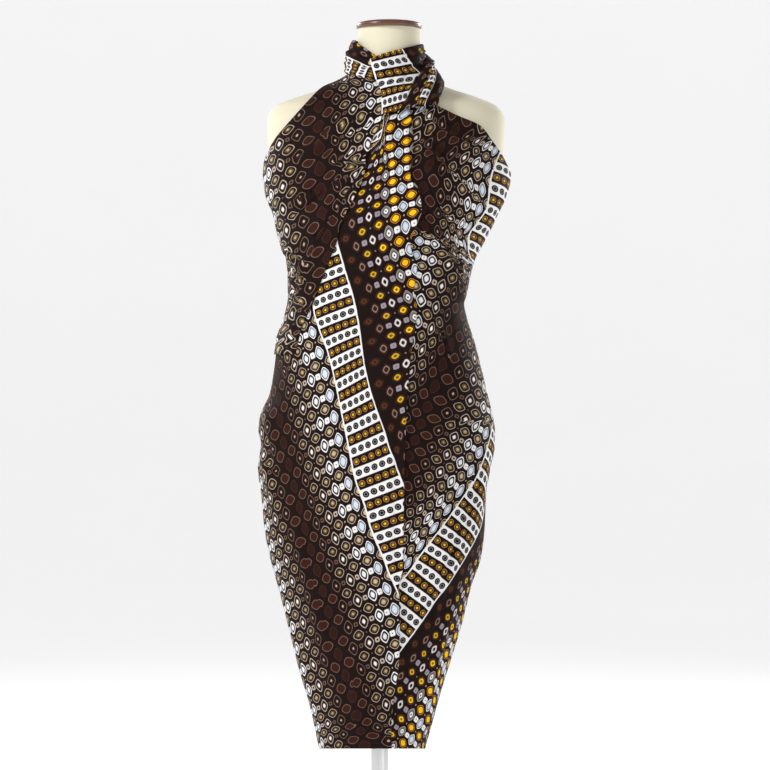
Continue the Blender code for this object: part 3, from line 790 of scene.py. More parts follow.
def tuck_shift(x, z):
    """How far the tucks move the print, across and down, at a point seen from the front."""
    across = np.zeros(x.shape)
    down = np.zeros(x.shape)
    for row in FRONT_TUCKS:
        line = fold_line(row)
        near = close_to(line, TUCK_FADE, x, z)
        away, side, place = nearest_on(line, x[near], z[near])
        ends = np.sin(math.pi * place) ** 0.7
        taken = -ends * side * smooth_step(TUCK_FADE, 0.0, away) / 2
        across[near] += row[7] * taken
        down[near] += row[8] * taken
    return across, down


def ripple(x, z):
    """The slight unevenness of soft cloth."""
    total = 0 * x
    for long_x, long_z, start, height in RIPPLES:
        total = total + height * np.sin(x / long_x + z / long_z + start)
    return total


def relief_map(folds, creases, tucks):
    """Heights of one side's folds on a lattice of whole millimetres."""
    x, z = np.meshgrid(np.arange(*MAP_X, 1.0), np.arange(*MAP_Z, 1.0), indexing="ij")
    relief = fold_height(folds + [(*row[:7], row[7] * CREASE_GAIN) for row in creases], x, z)
    return relief + ripple(x, z) + (tuck_height(x, z) if tucks else 0.0)


def read_map(relief, x, z):
    """A height between the lattice's points."""
    x, z = np.broadcast_arrays(x, z)
    across = np.clip(x - MAP_X[0], 0, relief.shape[0] - 1.001)
    up = np.clip(z - MAP_Z[0], 0, relief.shape[1] - 1.001)
    i = across.astype(int)
    j = up.astype(int)
    s = across - i
    t = up - j
    low = relief[i, j] * (1 - s) + relief[i + 1, j] * s
    high = relief[i, j + 1] * (1 - s) + relief[i + 1, j + 1] * s
    return low * (1 - t) + high * t


def cloth_reach(angle, z, folded=1.0):
    """Distance from the axis to the cloth's first layer: its own shape, or just off the form.

    A stretch that is hidden under another one lies flat: its folds are taken down to 0 there.
    """
    left = column(CLOTH, z, 1)
    right = column(CLOTH, z, 2)
    shape = ellipse_reach(
        angle, (left + right) / 2, (right - left) / 2, column(CLOTH, z, 3), column(CLOTH, z, 4)
    )
    x = shape * np.sin(angle)
    facing = np.cos(angle)
    front = read_map(FRONT_RELIEF, x, z) * smooth_step(*FACING_FADE, facing)
    back = read_map(BACK_RELIEF, x, z) * smooth_step(*FACING_FADE, -facing)
    return np.maximum(shape + folded * (front + back), form_reach(angle, z) + SEAT_GAP)


FRONT_RELIEF = relief_map(FRONT_FOLDS, FRONT_CREASES, True)
BACK_RELIEF = relief_map(BACK_FOLDS, BACK_CREASES, False)


def unit(directions):
    return directions / np.linalg.norm(directions, axis=-1, keepdims=True)


def point_on(reach, angle, z):
    r = reach(angle, z)
    return np.stack([r * np.sin(angle), -r * np.cos(angle), z + 0 * r], axis=-1)


def normal_on(reach, angle, z, rise=2.0):
    """The outward direction, averaged over the given height either way."""
    turn = 0.01
    round_it = point_on(reach, angle + turn, z) - point_on(reach, angle - turn, z)
    up_it = point_on(reach, angle, z + rise) - point_on(reach, angle, z - rise)
    return unit(np.cross(round_it, up_it))


def offset_on(reach, angle, z, lift, rise=2.0):
    away = np.asarray(lift)[..., None]
    return point_on(reach, angle, z) + normal_on(reach, angle, z, rise) * away


def angle_at(x, z):
    """The angle on the front half where the cloth's first layer has this x at this height."""
    x, z = np.broadcast_arrays(np.asarray(x, float), np.asarray(z, float))
    low = np.full(x.shape, -math.pi / 2)
    high = np.full(x.shape, math.pi / 2)
    for _ in range(HALVINGS):
        middle = (low + high) / 2
        smaller = cloth_reach(middle, z) * np.sin(middle) < x
        low = np.where(smaller, middle, low)
        high = np.where(smaller, high, middle)
    return (low + high) / 2


def between(start, end, columns):
    share = np.linspace(0, 1, columns)
    return start[:, None] + (end - start)[:, None] * share[None, :]


def left_lift(angle):
    """The front left stretch lies a layer out where the right one runs under it."""
    return LAYER * smooth_step(*LEFT_OVER, np.degrees(angle))


def strap_grids(table, along, across):
    """Grids of angle, height and lift off the first layer for a strap's table."""
    rows = np.linspace(0, len(table) - 1, along)
    places = np.arange(len(table))
    read = [smooth_curve(places, [row[k] for row in table], rows) for k in range(6)]
    upper_angle, upper_z, lower_angle, lower_z, layers, height = read
    angle = np.radians(between(upper_angle, lower_angle, across))
    z = between(upper_z, lower_z, across)
    crown = np.sin(np.linspace(0, math.pi, across))[None, :]
    return angle, z, layers[:, None] * LAYER + 0 * crown, height[:, None] * crown


def arc_along(points):
    """Distance along each row of a grid of points."""
    step = np.linalg.norm(np.diff(points, axis=1), axis=2)
    return np.concatenate([np.zeros((len(points), 1)), np.cumsum(step, axis=1)], axis=1)


def arc_down(points):
    """Distance down each column of a grid of points."""
    return arc_along(points.transpose(1, 0, 2)).T


def straight_on(at, places, values, rate=None):
    """Values between the given places, carried on straight past the first and last."""
    inside = np.interp(at, places, values)
    first = rate or (values[1] - values[0]) / (places[1] - places[0])
    last = rate or (values[-1] - values[-2]) / (places[-1] - places[-2])
    before = np.minimum(at - places[0], 0.0) * first
    after = np.maximum(at - places[-1], 0.0) * last
    return inside + before + after


def line_angles(lines, heights):
    """Where each print line crosses each row: its angle, and its distance past the side."""
    crossed = []
    for _, line in lines:
        x = column(line, heights, 1)
        angle = angle_at(x, heights)
        crossed.append((angle, x - cloth_reach(angle, heights) * np.sin(angle)))
    return crossed


def print_places(points, angle, heights, lines, rows, main):
    """Places across and down the print, in millimetres, for a grid of points on the cloth."""
    arc = arc_along(points)
    crossed = line_angles(lines, heights)
    values = np.array([place for place, _ in lines], float)
    across = np.zeros(arc.shape)
    for j in range(len(heights)):
        spots = [
            float(straight_on(turn[j], angle[j], arc[j]) + past[j]) for turn, past in crossed
        ]
        count = np.arange(len(spots))
        spots = np.maximum.accumulate(np.array(spots) - count * LEAST_GAP) + count * LEAST_GAP
        across[j] = straight_on(arc[j], spots, values, PRINT_RATE)
    path = point_on(cloth_reach, crossed[main][0], heights)
    step = np.linalg.norm(np.diff(path, axis=0), axis=1)
    step = np.minimum(step, FASTEST_DOWN * np.abs(np.diff(heights)))
    down = np.concatenate([[0.0], np.cumsum(step)])
    steepness = column(rows, heights, 1)[:, None]
    down = down[:, None] + steepness * (across - values[main])
    aside, lower = tuck_shift(points[..., 0], points[..., 2])
    facing = points[..., 1] < 0
    return across + aside * facing, down + lower * facing


def even_rows(top, bottom):
    count = int((top - bottom) / ROW_STEP) + 1
    return np.linspace(top, bottom, count)


def hem_height(points):
    """The hem rises a little where the cloth stands forward, so it looks level from the front."""
    forward = np.clip(-points[..., 1], 0.0, None)
    return HEM_Z + forward * (CAMERA_Z / MM - HEM_Z) / (CAMERA_DISTANCE / MM)


def curled(points, places, side, radius):
    """Adds a soft roll to one long edge of a grid: a half turn inward, then a short tail."""
    if side == "first":
        more = curled(points[:, ::-1], [place[:, ::-1] for place in places], "last", radius)
        return more[0][:, ::-1], [place[:, ::-1] for place in more[1]]
    edge = points[:, -1]
    out = unit(edge - points[:, -2])
    inward = np.cross(out, unit(np.gradient(edge, axis=0)))
    inward *= -np.sign((inward * edge * LEVEL).sum(axis=1, keepdims=True))
    added = []
    run = []
    for turn in np.radians(range(30, 181, 30)):
        added.append(edge + radius * (math.sin(turn) * out + (1 - math.cos(turn)) * inward))
        run.append(radius * turn)
    added.append(added[-1] - ROLL_TAIL * out)
    run.append(run[-1] + ROLL_TAIL)
    grown = np.concatenate([points, np.stack(added, axis=1)], axis=1)
    arc = arc_along(points)
    step = np.maximum(arc[:, -1] - arc[:, -2], 1e-6)
    wider = []
    for place in places:
        rate = (place[:, -1] - place[:, -2]) / step
        extra = place[:, -1:] + rate[:, None] * np.array(run)[None, :]
        wider.append(np.concatenate([place, extra], axis=1))
    return grown, wider


def placed(name, data):
    """A new object of the scene, with the given mesh, light or camera."""
    thing = bpy.data.objects.new(name, data)
    bpy.context.scene.collection.objects.link(thing)
    return thing


def smooth_thing(name, points, faces, finish):
    """A smooth mesh from points in millimetres round the form's axis."""
    mesh = bpy.data.meshes.new(name)
    mesh.from_pydata(((points + SHIFT) * MM).tolist(), [], faces)
    mesh.shade_smooth()
    mesh.materials.append(finish)
    return placed(name, mesh)


def add_shell(name, points, across, down, finish, flip=False, other=None):
    """A thin shell through a grid of points, with its print places kept as a UV map.

    The other print places, where given, hold for the faces whose corners they mark.
    """
    rows, columns = points.shape[:2]
    corners = np.arange(rows * columns).reshape(rows, columns)
    quads = np.stack(
        [corners[:-1, :-1], corners[1:, :-1], corners[1:, 1:], corners[:-1, 1:]], axis=-1
    ).reshape(-1, 4)
    if flip:
        quads = quads[:, ::-1]
    thing = smooth_thing(name, points.reshape(-1, 3), quads.tolist(), finish)
    place = np.stack([across, down], axis=-1).reshape(-1, 2)[quads]
    if other:
        marked = other[2].reshape(-1)[quads].all(axis=1)[:, None, None]
        place = np.where(marked, np.stack(other[:2], axis=-1).reshape(-1, 2)[quads], place)
    layer = thing.data.uv_layers.new(name="cloth")
    layer.data.foreach_set("uv", (place * MM).astype(np.float32).reshape(-1))
    wall = thing.modifiers.new("thickness", "SOLIDIFY")
    wall.thickness = CLOTH_THICK * MM
    wall.offset = -1.0
    return thing


def wrap_points(angle, heights, lift, folded=1.0):
    """The outer face of a stretch of the wrap, ending at the hem."""
    def reach(at_angle, at_z):
        return cloth_reach(at_angle, at_z, folded)

    z = np.broadcast_to(heights[:, None], angle.shape)
    points = offset_on(reach, angle, z, lift + WALL)
    hem = hem_height(points)
    share = smooth_step(HEM_Z + HEM_FADE, HEM_Z, z)
    points[..., 2] = np.maximum(points[..., 2] + share * (hem - HEM_Z), hem)
    return points


def columns_for(width):
    return int(width / COLUMN_STEP) + 2


def tall(heights, columns):
    """A column of heights, repeated across a grid."""
    return np.broadcast_to(heights[:, None], (len(heights), columns))


def edge_rows(points, edge):
    """A line of stitches a hem's width inside the first or last row of a grid, and its side."""
    if edge == 0:
        return points[HEM_ROWS], points[0] - points[HEM_ROWS + 1]
    return points[-1 - HEM_ROWS], points[-1] - points[-2 - HEM_ROWS]


def make_wrap_left(finish):
    heights = even_rows(LEFT_TOP_Z, HEM_Z)
    seam = math.radians(SEAM_GAP - 90)
    left = np.maximum(np.radians(column(LEFT_TUCK, heights, 1)), seam)
    right = angle_at(column(ROLLED_EDGE, heights, 1), heights)
    angle = between(left, right, columns_for(LEFT_WIDE))
    roll = EDGE_RISE * smooth_step(EDGE_RUN, 0, (right[:, None] - angle) * EDGE_REACH)
    covered = angle_at(column(BODICE_FOLD, heights, 1), heights)
    edge = np.where(heights > BODICE_LOW_Z, covered, -math.pi)
    folded = smooth_step(*FOLDS_FROM, angle - edge[:, None])
    points = wrap_points(angle, heights, left_lift(angle) + roll, folded)
    places = print_places(points, angle, heights, SKIRT_LINES, SKIRT_ROWS, 1)
    sewn = [edge_rows(points, -1)]
    points, places = curled(points, places, "last", LEFT_ROLL)
    return add_shell("front_left", points, *places, finish), sewn


def make_wrap_right(finish, offset):
    heights = even_rows(RIGHT_TOP_Z, HEM_Z)
    rolled = column(ROLLED_EDGE, heights, 1)
    left = angle_at(rolled - UNDERLAP, heights)
    seam = math.radians(90 - SEAM_GAP)
    top = angle_at(np.minimum(column(RIGHT_TOP, heights, 1), RIGHT_MOST_X), heights)
    right = np.where(heights < RIGHT_TOP[-1][0], seam, np.minimum(top, seam))
    angle = between(left, right, columns_for(RIGHT_WIDE))
    folded = smooth_step(*FOLDS_FROM, angle - angle_at(rolled, heights)[:, None])
    points = wrap_points(angle, heights, 0 * angle, folded)
    across, down = print_places(points, angle, heights, RIGHT_LINES, RIGHT_ROWS, 3)
    across = np.abs(across - HIDDEN_BORDER) + HIDDEN_BORDER
    bust_across, bust_down = print_places(points, angle, heights, RIGHT_BUST_LINES, RIGHT_ROWS, 2)
    tuck_z = np.interp(points[..., 0], *zip(*WAIST_TUCK))
    bust = (bust_across, bust_down + offset + BUST_SLIP, points[..., 2] > tuck_z)
    top = points[heights > RIGHT_TOP[-1][0]].transpose(1, 0, 2)
    sewn = [edge_rows(points[:, UNDER_COLUMNS:], -1), edge_rows(top, -1)]
    return add_shell("front_right", points, across, down + offset, finish, other=bust), sewn


def make_bodice_left(finish, offset):
    heights = even_rows(BODICE_TOP_Z, BODICE_LOW_Z)
    seam = math.radians(SEAM_GAP - 90)
    top = angle_at(column(BODICE_TOP, heights, 1), heights)
    left = np.where(heights < BODICE_TOP[-1][0], seam, np.maximum(top, seam))
    right = angle_at(column(BODICE_FOLD, heights, 1), heights)
    angle = between(left, right, columns_for(BODICE_WIDE))
    z = tall(heights, angle.shape[1])
    tucked = smooth_step(*BODICE_TUCKED, z)
    side = smooth_step(*BODICE_SIDE, np.degrees(angle))
    free = smooth_step(*BODICE_FREE, z)
    lift = (LAYER + left_lift(angle)) * np.maximum(side, tucked) * free
    points = wrap_points(angle, heights, lift)
    across, down = print_places(points, angle, heights, BODICE_LINES, LEFT_ROWS, 1)
    sewn = [edge_rows(points[heights > BODICE_TOP[-1][0]].transpose(1, 0, 2), 0)]
    points, places = curled(points, [across, down + offset], "last", BODICE_ROLL)
    return add_shell("bodice_left_cloth", points, *places, finish), sewn


def side_places(lines, rows, main, heights, spot):
    """Places across and down the print at one side line: the left one is 0, the right one -1."""
    far = math.radians(SIDE_ANGLE)
    angle = np.broadcast_to(np.linspace(-far, far, SIDE_POINTS), (len(heights), SIDE_POINTS))
    points = point_on(cloth_reach, angle, tall(heights, SIDE_POINTS))
    across, down = print_places(points, angle, heights, lines, rows, main)
    return across[:, spot], down[:, spot]


def row_near(heights, z):
    return int(np.argmin(np.abs(heights - z)))


def back_ends(heights):
    """Print places at both side lines, matched so that the print runs on round the back.

    After them come the distances down that match the bodice and the right stretch to the skirt.
    """
    skirt = side_places(SKIRT_LINES, SKIRT_ROWS, 1, heights, 0)
    bodice = side_places(BODICE_LINES, LEFT_ROWS, 1, heights, 0)
    right = side_places(RIGHT_LINES, RIGHT_ROWS, 3, heights, -1)
    upper = smooth_step(*SIDE_WAIST, heights)
    at = row_near(heights, sum(SIDE_WAIST) / 2)
    bodice_offset = skirt[1][at] - bodice[1][at]
    across = skirt[0] + upper * (bodice[0] - skirt[0])
    down = skirt[1] + upper * (bodice[1] + bodice_offset - skirt[1])
    match = row_near(heights, SIDE_MATCH_Z)
    right_offset = down[match] - right[1][match]
    return across, down, right[0] - REPEAT, right[1] + right_offset, bodice_offset, right_offset


def make_wrap_back(finish, ends, heights):
    left_across, left_down, right_across, right_down = ends
    seam = math.radians(90 + SEAM_GAP)
    columns = int(BACK_WIDE / BACK_STEP)
    angle = np.broadcast_to(np.linspace(seam, 2 * math.pi - seam, columns), (len(heights), columns))
    points = wrap_points(angle, heights, 0 * angle)
    sag = smooth_step(BACK_SAG_Z, BACK_TOP_Z, heights)[:, None]
    points[..., 2] -= BACK_SAG * np.cos(angle) ** 2 * sag
    arc = arc_along(points)
    share = arc / arc[:, -1:]
    across = right_across[:, None] + (left_across - right_across)[:, None] * share
    dip = BACK_DIP * 4 * share * (1 - share)
    down = right_down[:, None] + (left_down - right_down)[:, None] * share - dip
    sewn = [edge_rows(points, 0), edge_rows(points, -1)]
    return add_shell("back_cloth", points, across, down, finish), sewn


def strap_points(table, along, across, creases, rise=2.0):
    """The outer face of a strap: a crown across it, with creases along it."""
    angle, z, lift, crown = strap_grids(table, along, across)
    share = np.linspace(0, 1, across)[None, :]
    travel = np.linspace(0, 1, along)[:, None]
    crease = 0 * lift
    for place, drift, half_width, height in creases:
        away = (share - place - drift * travel) / half_width
        crease = crease + height * np.exp(-(away**2)) * np.sin(math.pi * travel) ** 0.5
    return offset_on(cloth_reach, angle, z, lift + crown + crease + WALL, rise)


def twist_places(points):
    """Places across and down the print for the twist, read as they are seen from the front."""
    angle = np.arctan2(points[..., 0], -points[..., 1])
    round_it = angle * NECK_ROUND
    left = column(TWIST_EDGES, points[..., 2], 1)
    right = column(TWIST_EDGES, points[..., 2], 2)
    share = (round_it - left) / (right - left)
    across = np.where(share < 1, share * BORDER, BORDER + (round_it - right))
    top, rate, lean = TWIST_ROWS
    return across, rate * (top - points[..., 2]) + lean * across


def strap_shell(
    name, table, creases, finish, laid=None, rise=2.0, radius=STRAP_ROLL, flip=False
):
    """A strap's shell; its print is laid by a table of share across and place, or as a twist."""
    points = strap_points(table, STRAP_ROWS, STRAP_COLUMNS, creases, rise)
    if laid:
        wide = arc_along(points)
        places = [np.interp(wide / wide[:, -1:], *zip(*laid)), arc_down(points)]
    else:
        places = twist_places(points)
    for side in ("last", "first"):
        points, places = curled(points, places, side, radius)
    return add_shell(name, points, *places, finish, flip=flip)


def make_knot(finish):
    down, across = KNOT_GRID
    angle = np.broadcast_to(np.radians(np.linspace(*KNOT_ANGLES, across)), KNOT_GRID)
    z = tall(np.linspace(*KNOT_Z, down), across)
    u = np.linspace(-1, 1, across)[None, :]
    v = np.linspace(-1, 1, down)[:, None]
    crown = np.clip(1 - np.abs(u) ** 3, 0, 1) * np.clip(1 - np.abs(v) ** 3, 0, 1)
    tuck = 0 * crown
    for lean, place, half_width, depth in KNOT_CREASES:
        tuck = tuck + depth * np.exp(-(((u + lean * v - place) / half_width) ** 2))
    seat = KNOT_SEAT + KNOT_LOWER * smooth_step(*KNOT_LOWER_Z, z)
    lift = seat + KNOT_HEIGHT * np.sqrt(crown) - tuck * crown
    points = offset_on(form_reach, angle, z, lift)
    wide = arc_along(points)
    long = arc_down(points)
    turn, aside = KNOT_TURN
    places = [KNOT_PLACE + wide * turn + long * aside, long * turn - wide * aside]
    return add_shell("knot_cloth", points, *places, finish)


def make_tail(name, side, start, finish):
    """One end below the knot; its print starts at the given place across the cloth."""
    down, across = TAIL_GRID
    drop = np.linspace(0, TAIL[-1][0], down)[:, None]
    share = np.linspace(-1, 1, across)[None, :]
    x = side * (TAIL_ASIDE + TAIL_LEAN * drop) + column(TAIL, drop, 1) * share
    z = TAIL_TOP_Z - drop + 0 * x
    reach = column(FORM, z, 4)
    width = column(FORM, z, 2)
    angle = math.pi - np.arctan2(x, reach * np.sqrt(np.clip(1 - (x / width) ** 2, 0, 1)))
    height, turns, whole = TAIL_PLEATS
    pleat = height * np.cos(math.pi * share * turns) * smooth_step(0, whole, drop)
    height, turns, twist = TAIL_FINE
    fine = height * np.cos(math.pi * share * turns + side + drop / twist)
    less, less_down = TAIL_LOWER
    more, more_down = TAIL_UNDER_KNOT
    hang = TAIL_LIFT - less * smooth_step(0, less_down, drop)
    hang += more * smooth_step(more_down, 0, drop)
    points = offset_on(form_reach, angle, z, hang + pleat + fine + WALL)
    places = [start + arc_along(points) * TAIL_PRINT_RATE, drop + 0 * x]
    return add_shell(name, points, *places, finish, flip=True)


class Field:
    """A number that varies over a surface, kept as a node's output."""

    def __init__(self, tree, socket):
        self.tree = tree
        self.socket = socket

    def do(self, operation, *others, clamp=False):
        node = self.tree.nodes.new("ShaderNodeMath")
        node.operation = operation
        node.use_clamp = clamp
        for spot, value in zip(node.inputs, (self, *others)):
            if isinstance(value, Field):
                self.tree.links.new(value.socket, spot)
            else:
                spot.default_value = value
        return Field(self.tree, node.outputs[0])

    def __add__(self, other):
        return self.do("ADD", other)

    def __sub__(self, other):
        return self.do("SUBTRACT", other)

    def __mul__(self, other):
        return self.do("MULTIPLY", other)

    def __truediv__(self, other):
        return self.do("DIVIDE", other)

    def fraction(self):
        return self.do("FRACT")

    def floor(self):
        return self.do("FLOOR")

    def size(self):
        return self.do("ABSOLUTE")

    def power(self, exponent):
        return self.do("POWER", exponent)

    def below(self, edge, blur):
        """1 well below an edge, 0 well above it."""
        return self.do("MULTIPLY_ADD", -1.0 / blur, edge / blur + 0.5, clamp=True)

    def above(self, edge, blur):
        """0 well below an edge, 1 well above it."""
        return self.do("MULTIPLY_ADD", 1.0 / blur, 0.5 - edge / blur, clamp=True)


def plain(colour):
    """An 8-bit screen colour as linear light."""
    parts = [part / 255 for part in colour]
    return tuple(p / 12.92 if p <= 0.04045 else ((p + 0.055) / 1.055) ** 2.4 for p in parts)


def dye(name):
    return plain(DYES[name])


def mix(tree, factor, first, second):
    node = tree.nodes.new("ShaderNodeMix")
    node.data_type = "RGBA"
    node.clamp_factor = True
    if isinstance(factor, Field):
        tree.links.new(factor.socket, node.inputs["Factor"])
    else:
        node.inputs["Factor"].default_value = factor
    for spot, colour in ((node.inputs[6], first), (node.inputs[7], second)):
        if isinstance(colour, tuple):
            spot.default_value = (*colour, 1.0)
        else:
            tree.links.new(colour, spot)
    return node.outputs[2]


def rings(tree, radius, colours):
    """Rings of colour from the middle out: outer radius and dye for each, then the ground."""
    if colours[-1][0] < 1.0:
        colours = [*colours, (1.0, "ground")]
    node = tree.nodes.new("ShaderNodeValToRGB")
    ramp = node.color_ramp
    stops = []
    for k, (edge, name) in enumerate(colours):
        inner = colours[k - 1][0] if k else 0.0
        stops.append((min(inner + RING_BLUR, 1.0) if k else 0.0, (*dye(name), 1.0)))
        stops.append((max(edge - RING_BLUR, 0.0), (*dye(name), 1.0)))
    for element, (place, colour) in zip(ramp.elements, (stops[0], stops[-1])):
        element.position = place
        element.color = colour
    for place, colour in stops[1:-1]:
        ramp.elements.new(place).color = colour
    tree.links.new(radius.socket, node.inputs["Fac"])
    return node.outputs["Color"]


def motif(tree, radius, strength, styles):
    """One motif: plain ground where its strength is 0, and fuller styles as it grows."""
    colour = dye("ground")
    for low, high, colours in styles:
        step = strength.above((low + high) / 2, high - low)
        colour = mix(tree, step, colour, rings(tree, radius, colours))
    return colour


def oval(x, y, half_width, half_height, exponent):
    """Distance from a motif's middle, 1 at its outline."""
    across = (x.size() / half_width).power(exponent)
    down = (y.size() / half_height).power(exponent)
    return (across + down).power(1 / exponent)


def print_colour(tree, u, v):
    """The print: borders of rings, and two fields of columns that fade to the ground and back."""
    place = (u / (REPEAT * MM)).fraction() * REPEAT
    down = v / MM
    # 1 in the second half of the repeat, where the tan field is, and 0 in the first
    second = place.above(BORDER + YELLOW_FIELD, 0.01)
    half = place - second * (BORDER + YELLOW_FIELD)
    in_border = half.below(BORDER, 0.3)
    column_at = (half - BORDER) / COLUMN
    middle = (second * (TAN_FIELD - YELLOW_FIELD) + YELLOW_FIELD) * (0.5 / COLUMN)
    pair = column_at * 0.5
    down_pair = down / ROW_PAIR
    first = second * -1 + 1
    lens_cell = pair + first * 0.5
    oval_cell = pair + second * 0.5
    lens_x = (lens_cell.fraction() - 0.5) * (2 * COLUMN)
    oval_x = (oval_cell.fraction() - 0.5) * (2 * COLUMN)
    lens_y = ((down_pair + 0.5).fraction() - 0.5) * ROW_PAIR
    oval_y = (down_pair.fraction() - 0.5) * ROW_PAIR

    def strength(cell, shift):
        """How full a column is: in the middle of the first field, beside the second's borders."""
        centre = cell.floor() * 2 + shift
        edge = (centre - middle).size() / middle
        return edge + (edge * -2 + 1) * first

    lens_full = strength(lens_cell, second)
    oval_full = strength(oval_cell, first)
    lens = oval(lens_x, lens_y, *LENS)
    round_one = oval(oval_x, oval_y, *OVAL)
    square = oval(oval_x, lens_y, *SQUARE)
    dot = oval(lens_x, oval_y, *DOT)

    def field(styles):
        colour = motif(tree, lens, lens_full, styles["lens"])
        colour = mix(tree, round_one.below(1.0, 0.06), colour,
                     motif(tree, round_one, oval_full, styles["oval"]))
        colour = mix(tree, square.below(1.0, 0.15) * oval_full.below(0.96, 0.02), colour,
                     motif(tree, square, oval_full, styles["square"]))
        shown = dot.below(1.0, 0.3) * lens_full.above(0.5, 0.2)
        return mix(tree, shown, colour, dye("stone"))

    fields = mix(tree, second, field(YELLOW_STYLES), field(TAN_STYLES))

    row = down / (ROW_PAIR / 2)
    light_row = ((row * 0.5).fraction() - 0.5).above(0.0, 0.02)
    ring_x = (((half - BORDER_LINE) / RING_STEP).fraction() - 0.5) * RING_STEP
    ring_y = (row.fraction() - 0.5) * (ROW_PAIR / 2)
    ring = oval(ring_x, ring_y, RING_RADIUS, RING_RADIUS, 2.0)
    light = rings(tree, ring, BORDER_LIGHT)
    dark = rings(tree, ring, BORDER_DARK)
    border = mix(tree, light_row, dark, light)
    edge_line = (half - BORDER / 2).size().above(BORDER / 2 - BORDER_LINE, 0.4)
    border = mix(tree, edge_line, border, dye("white"))
    return mix(tree, in_border, fields, border)


def new_material(name):
    """A material, its node tree, its shader and the object's own space."""
    made = bpy.data.materials.new(name)
    made.use_nodes = True
    tree = made.node_tree
    space = tree.nodes.new("ShaderNodeTexCoord").outputs["Object"]
    return made, tree, tree.nodes["Principled BSDF"], space


def set_shader(tree, shader, colour, rough, uniform):
    """Links a colour, links or sets the roughness, and sets the uniform values."""
    tree.links.new(colour, shader.inputs["Base Color"])
    if isinstance(rough, Field):
        tree.links.new(rough.socket, shader.inputs["Roughness"])
    else:
        shader.inputs["Roughness"].default_value = rough
    for name, value in uniform.items():
        shader.inputs[name].default_value = value


def split(tree, vector):
    """The three parts of a vector as fields."""
    node = tree.nodes.new("ShaderNodeSeparateXYZ")
    tree.links.new(vector, node.inputs["Vector"])
    return [Field(tree, part) for part in node.outputs]


def scaled(tree, vector, scale):
    node = tree.nodes.new("ShaderNodeMapping")
    node.inputs["Scale"].default_value = scale
    tree.links.new(vector, node.inputs["Vector"])
    return node.outputs["Vector"]


def noise(tree, vector, scale, detail=3.0, roughness=0.5):
    node = tree.nodes.new("ShaderNodeTexNoise")
    node.inputs["Scale"].default_value = scale
    node.inputs["Detail"].default_value = detail
    node.inputs["Roughness"].default_value = roughness
    tree.links.new(vector, node.inputs["Vector"])
    return Field(tree, node.outputs["Fac"])


def bump(tree, shader, height, distance, strength=1.0):
    node = tree.nodes.new("ShaderNodeBump")
    node.inputs["Distance"].default_value = distance
    node.inputs["Strength"].default_value = strength
    tree.links.new(height.socket, node.inputs["Height"])
    tree.links.new(node.outputs["Normal"], shader.inputs["Normal"])


def cotton(name):
    """Printed plain-weave cotton: soft, with a faint sheen, its threads and slight wear."""
    made, tree, shader, space = new_material(name)
    node = tree.nodes.new("ShaderNodeUVMap")
    node.uv_map = "cloth"
    uv = node.outputs["UV"]
    u, v, _ = split(tree, uv)
    wobble = noise(tree, uv, 90.0, 2.0)
    colour = print_colour(tree, u + (wobble - 0.5) * PRINT_WOBBLE, v)
    fade = noise(tree, space, 9.0, 4.0)
    worn = (fade - 0.5) * 0.08 + 0.02
    set_shader(tree, shader, mix(tree, worn, colour, dye("faded")), fade * 0.16 + 0.66, {
        "Specular IOR Level": 0.08, "Sheen Weight": 0.01, "Sheen Roughness": 0.45,
    })
    warp, weft = ((way * (2 * math.pi / THREAD)).do("SINE").size() for way in (u, v))
    slub = noise(tree, uv, 700.0, 2.0)
    bump(tree, shader, warp + weft + slub, 0.00012, 0.5)
    return made


def jersey(name):
    """The form's cream knit cover."""
    made, tree, shader, space = new_material(name)
    patch = noise(tree, space, 6.0, 4.0)
    colour = mix(tree, patch, plain((218, 213, 192)), plain((210, 201, 172)))
    set_shader(tree, shader, colour, patch * 0.15 + 0.75, {"Sheen Weight": 0.15})
    x, _, z = split(tree, space)
    rib = (x * KNIT_RIB).do("SINE")
    course = (z * KNIT_COURSE).do("SINE")
    fuzz = noise(tree, space, 900.0, 2.0)
    bump(tree, shader, rib * 0.5 + course * 0.5 + fuzz, 0.0001, 0.5)
    return made


def varnished_wood(name):
    made, tree, shader, space = new_material(name)
    along = scaled(tree, space, (1.0, 9.0, 9.0))
    grain = noise(tree, along, 26.0, 6.0, 0.6)
    pores = noise(tree, along, 160.0, 3.0)
    tone = mix(tree, grain, plain((58, 31, 22)), plain((128, 84, 58)))
    colour = mix(tree, pores.below(0.36, 0.1) * 0.5, tone, plain((34, 18, 14)))
    set_shader(tree, shader, colour, grain * 0.2 + 0.28, {
        "Coat Weight": 0.35, "Coat Roughness": 0.2,
    })
    bump(tree, shader, grain + pores * 0.4, 0.0003, 0.4)
    return made


def brushed_metal(name):
    made, tree, shader, space = new_material(name)
    lines = noise(tree, scaled(tree, space, (30.0, 30.0, 1.5)), 30.0, 4.0)
    colour = mix(tree, lines, plain((196, 196, 198)), plain((226, 226, 226)))
    set_shader(tree, shader, colour, lines * 0.18 + 0.26, {"Metallic": 0.85})
    bump(tree, shader, lines, 0.0001, 0.4)
    return made


def thread(name):
    made, tree, shader, space = new_material(name)
    twist = noise(tree, space, 500.0, 2.0)
    colour = mix(tree, twist, plain((40, 26, 22)), plain((74, 54, 46)))
    set_shader(tree, shader, colour, 0.6, {})
    bump(tree, shader, twist, 0.0002, 0.5)
    return made


def studio_paper(name):
    made, tree, shader, space = new_material(name)
    tone = noise(tree, space, 2.0, 2.0)
    colour = mix(tree, tone, (0.42, 0.42, 0.42), (0.45, 0.45, 0.45))
    set_shader(tree, shader, colour, 0.9, {
        "Emission Color": (1.0, 1.0, 1.0, 1.0), "Emission Strength": PAPER_GLOW,
    })
    return made


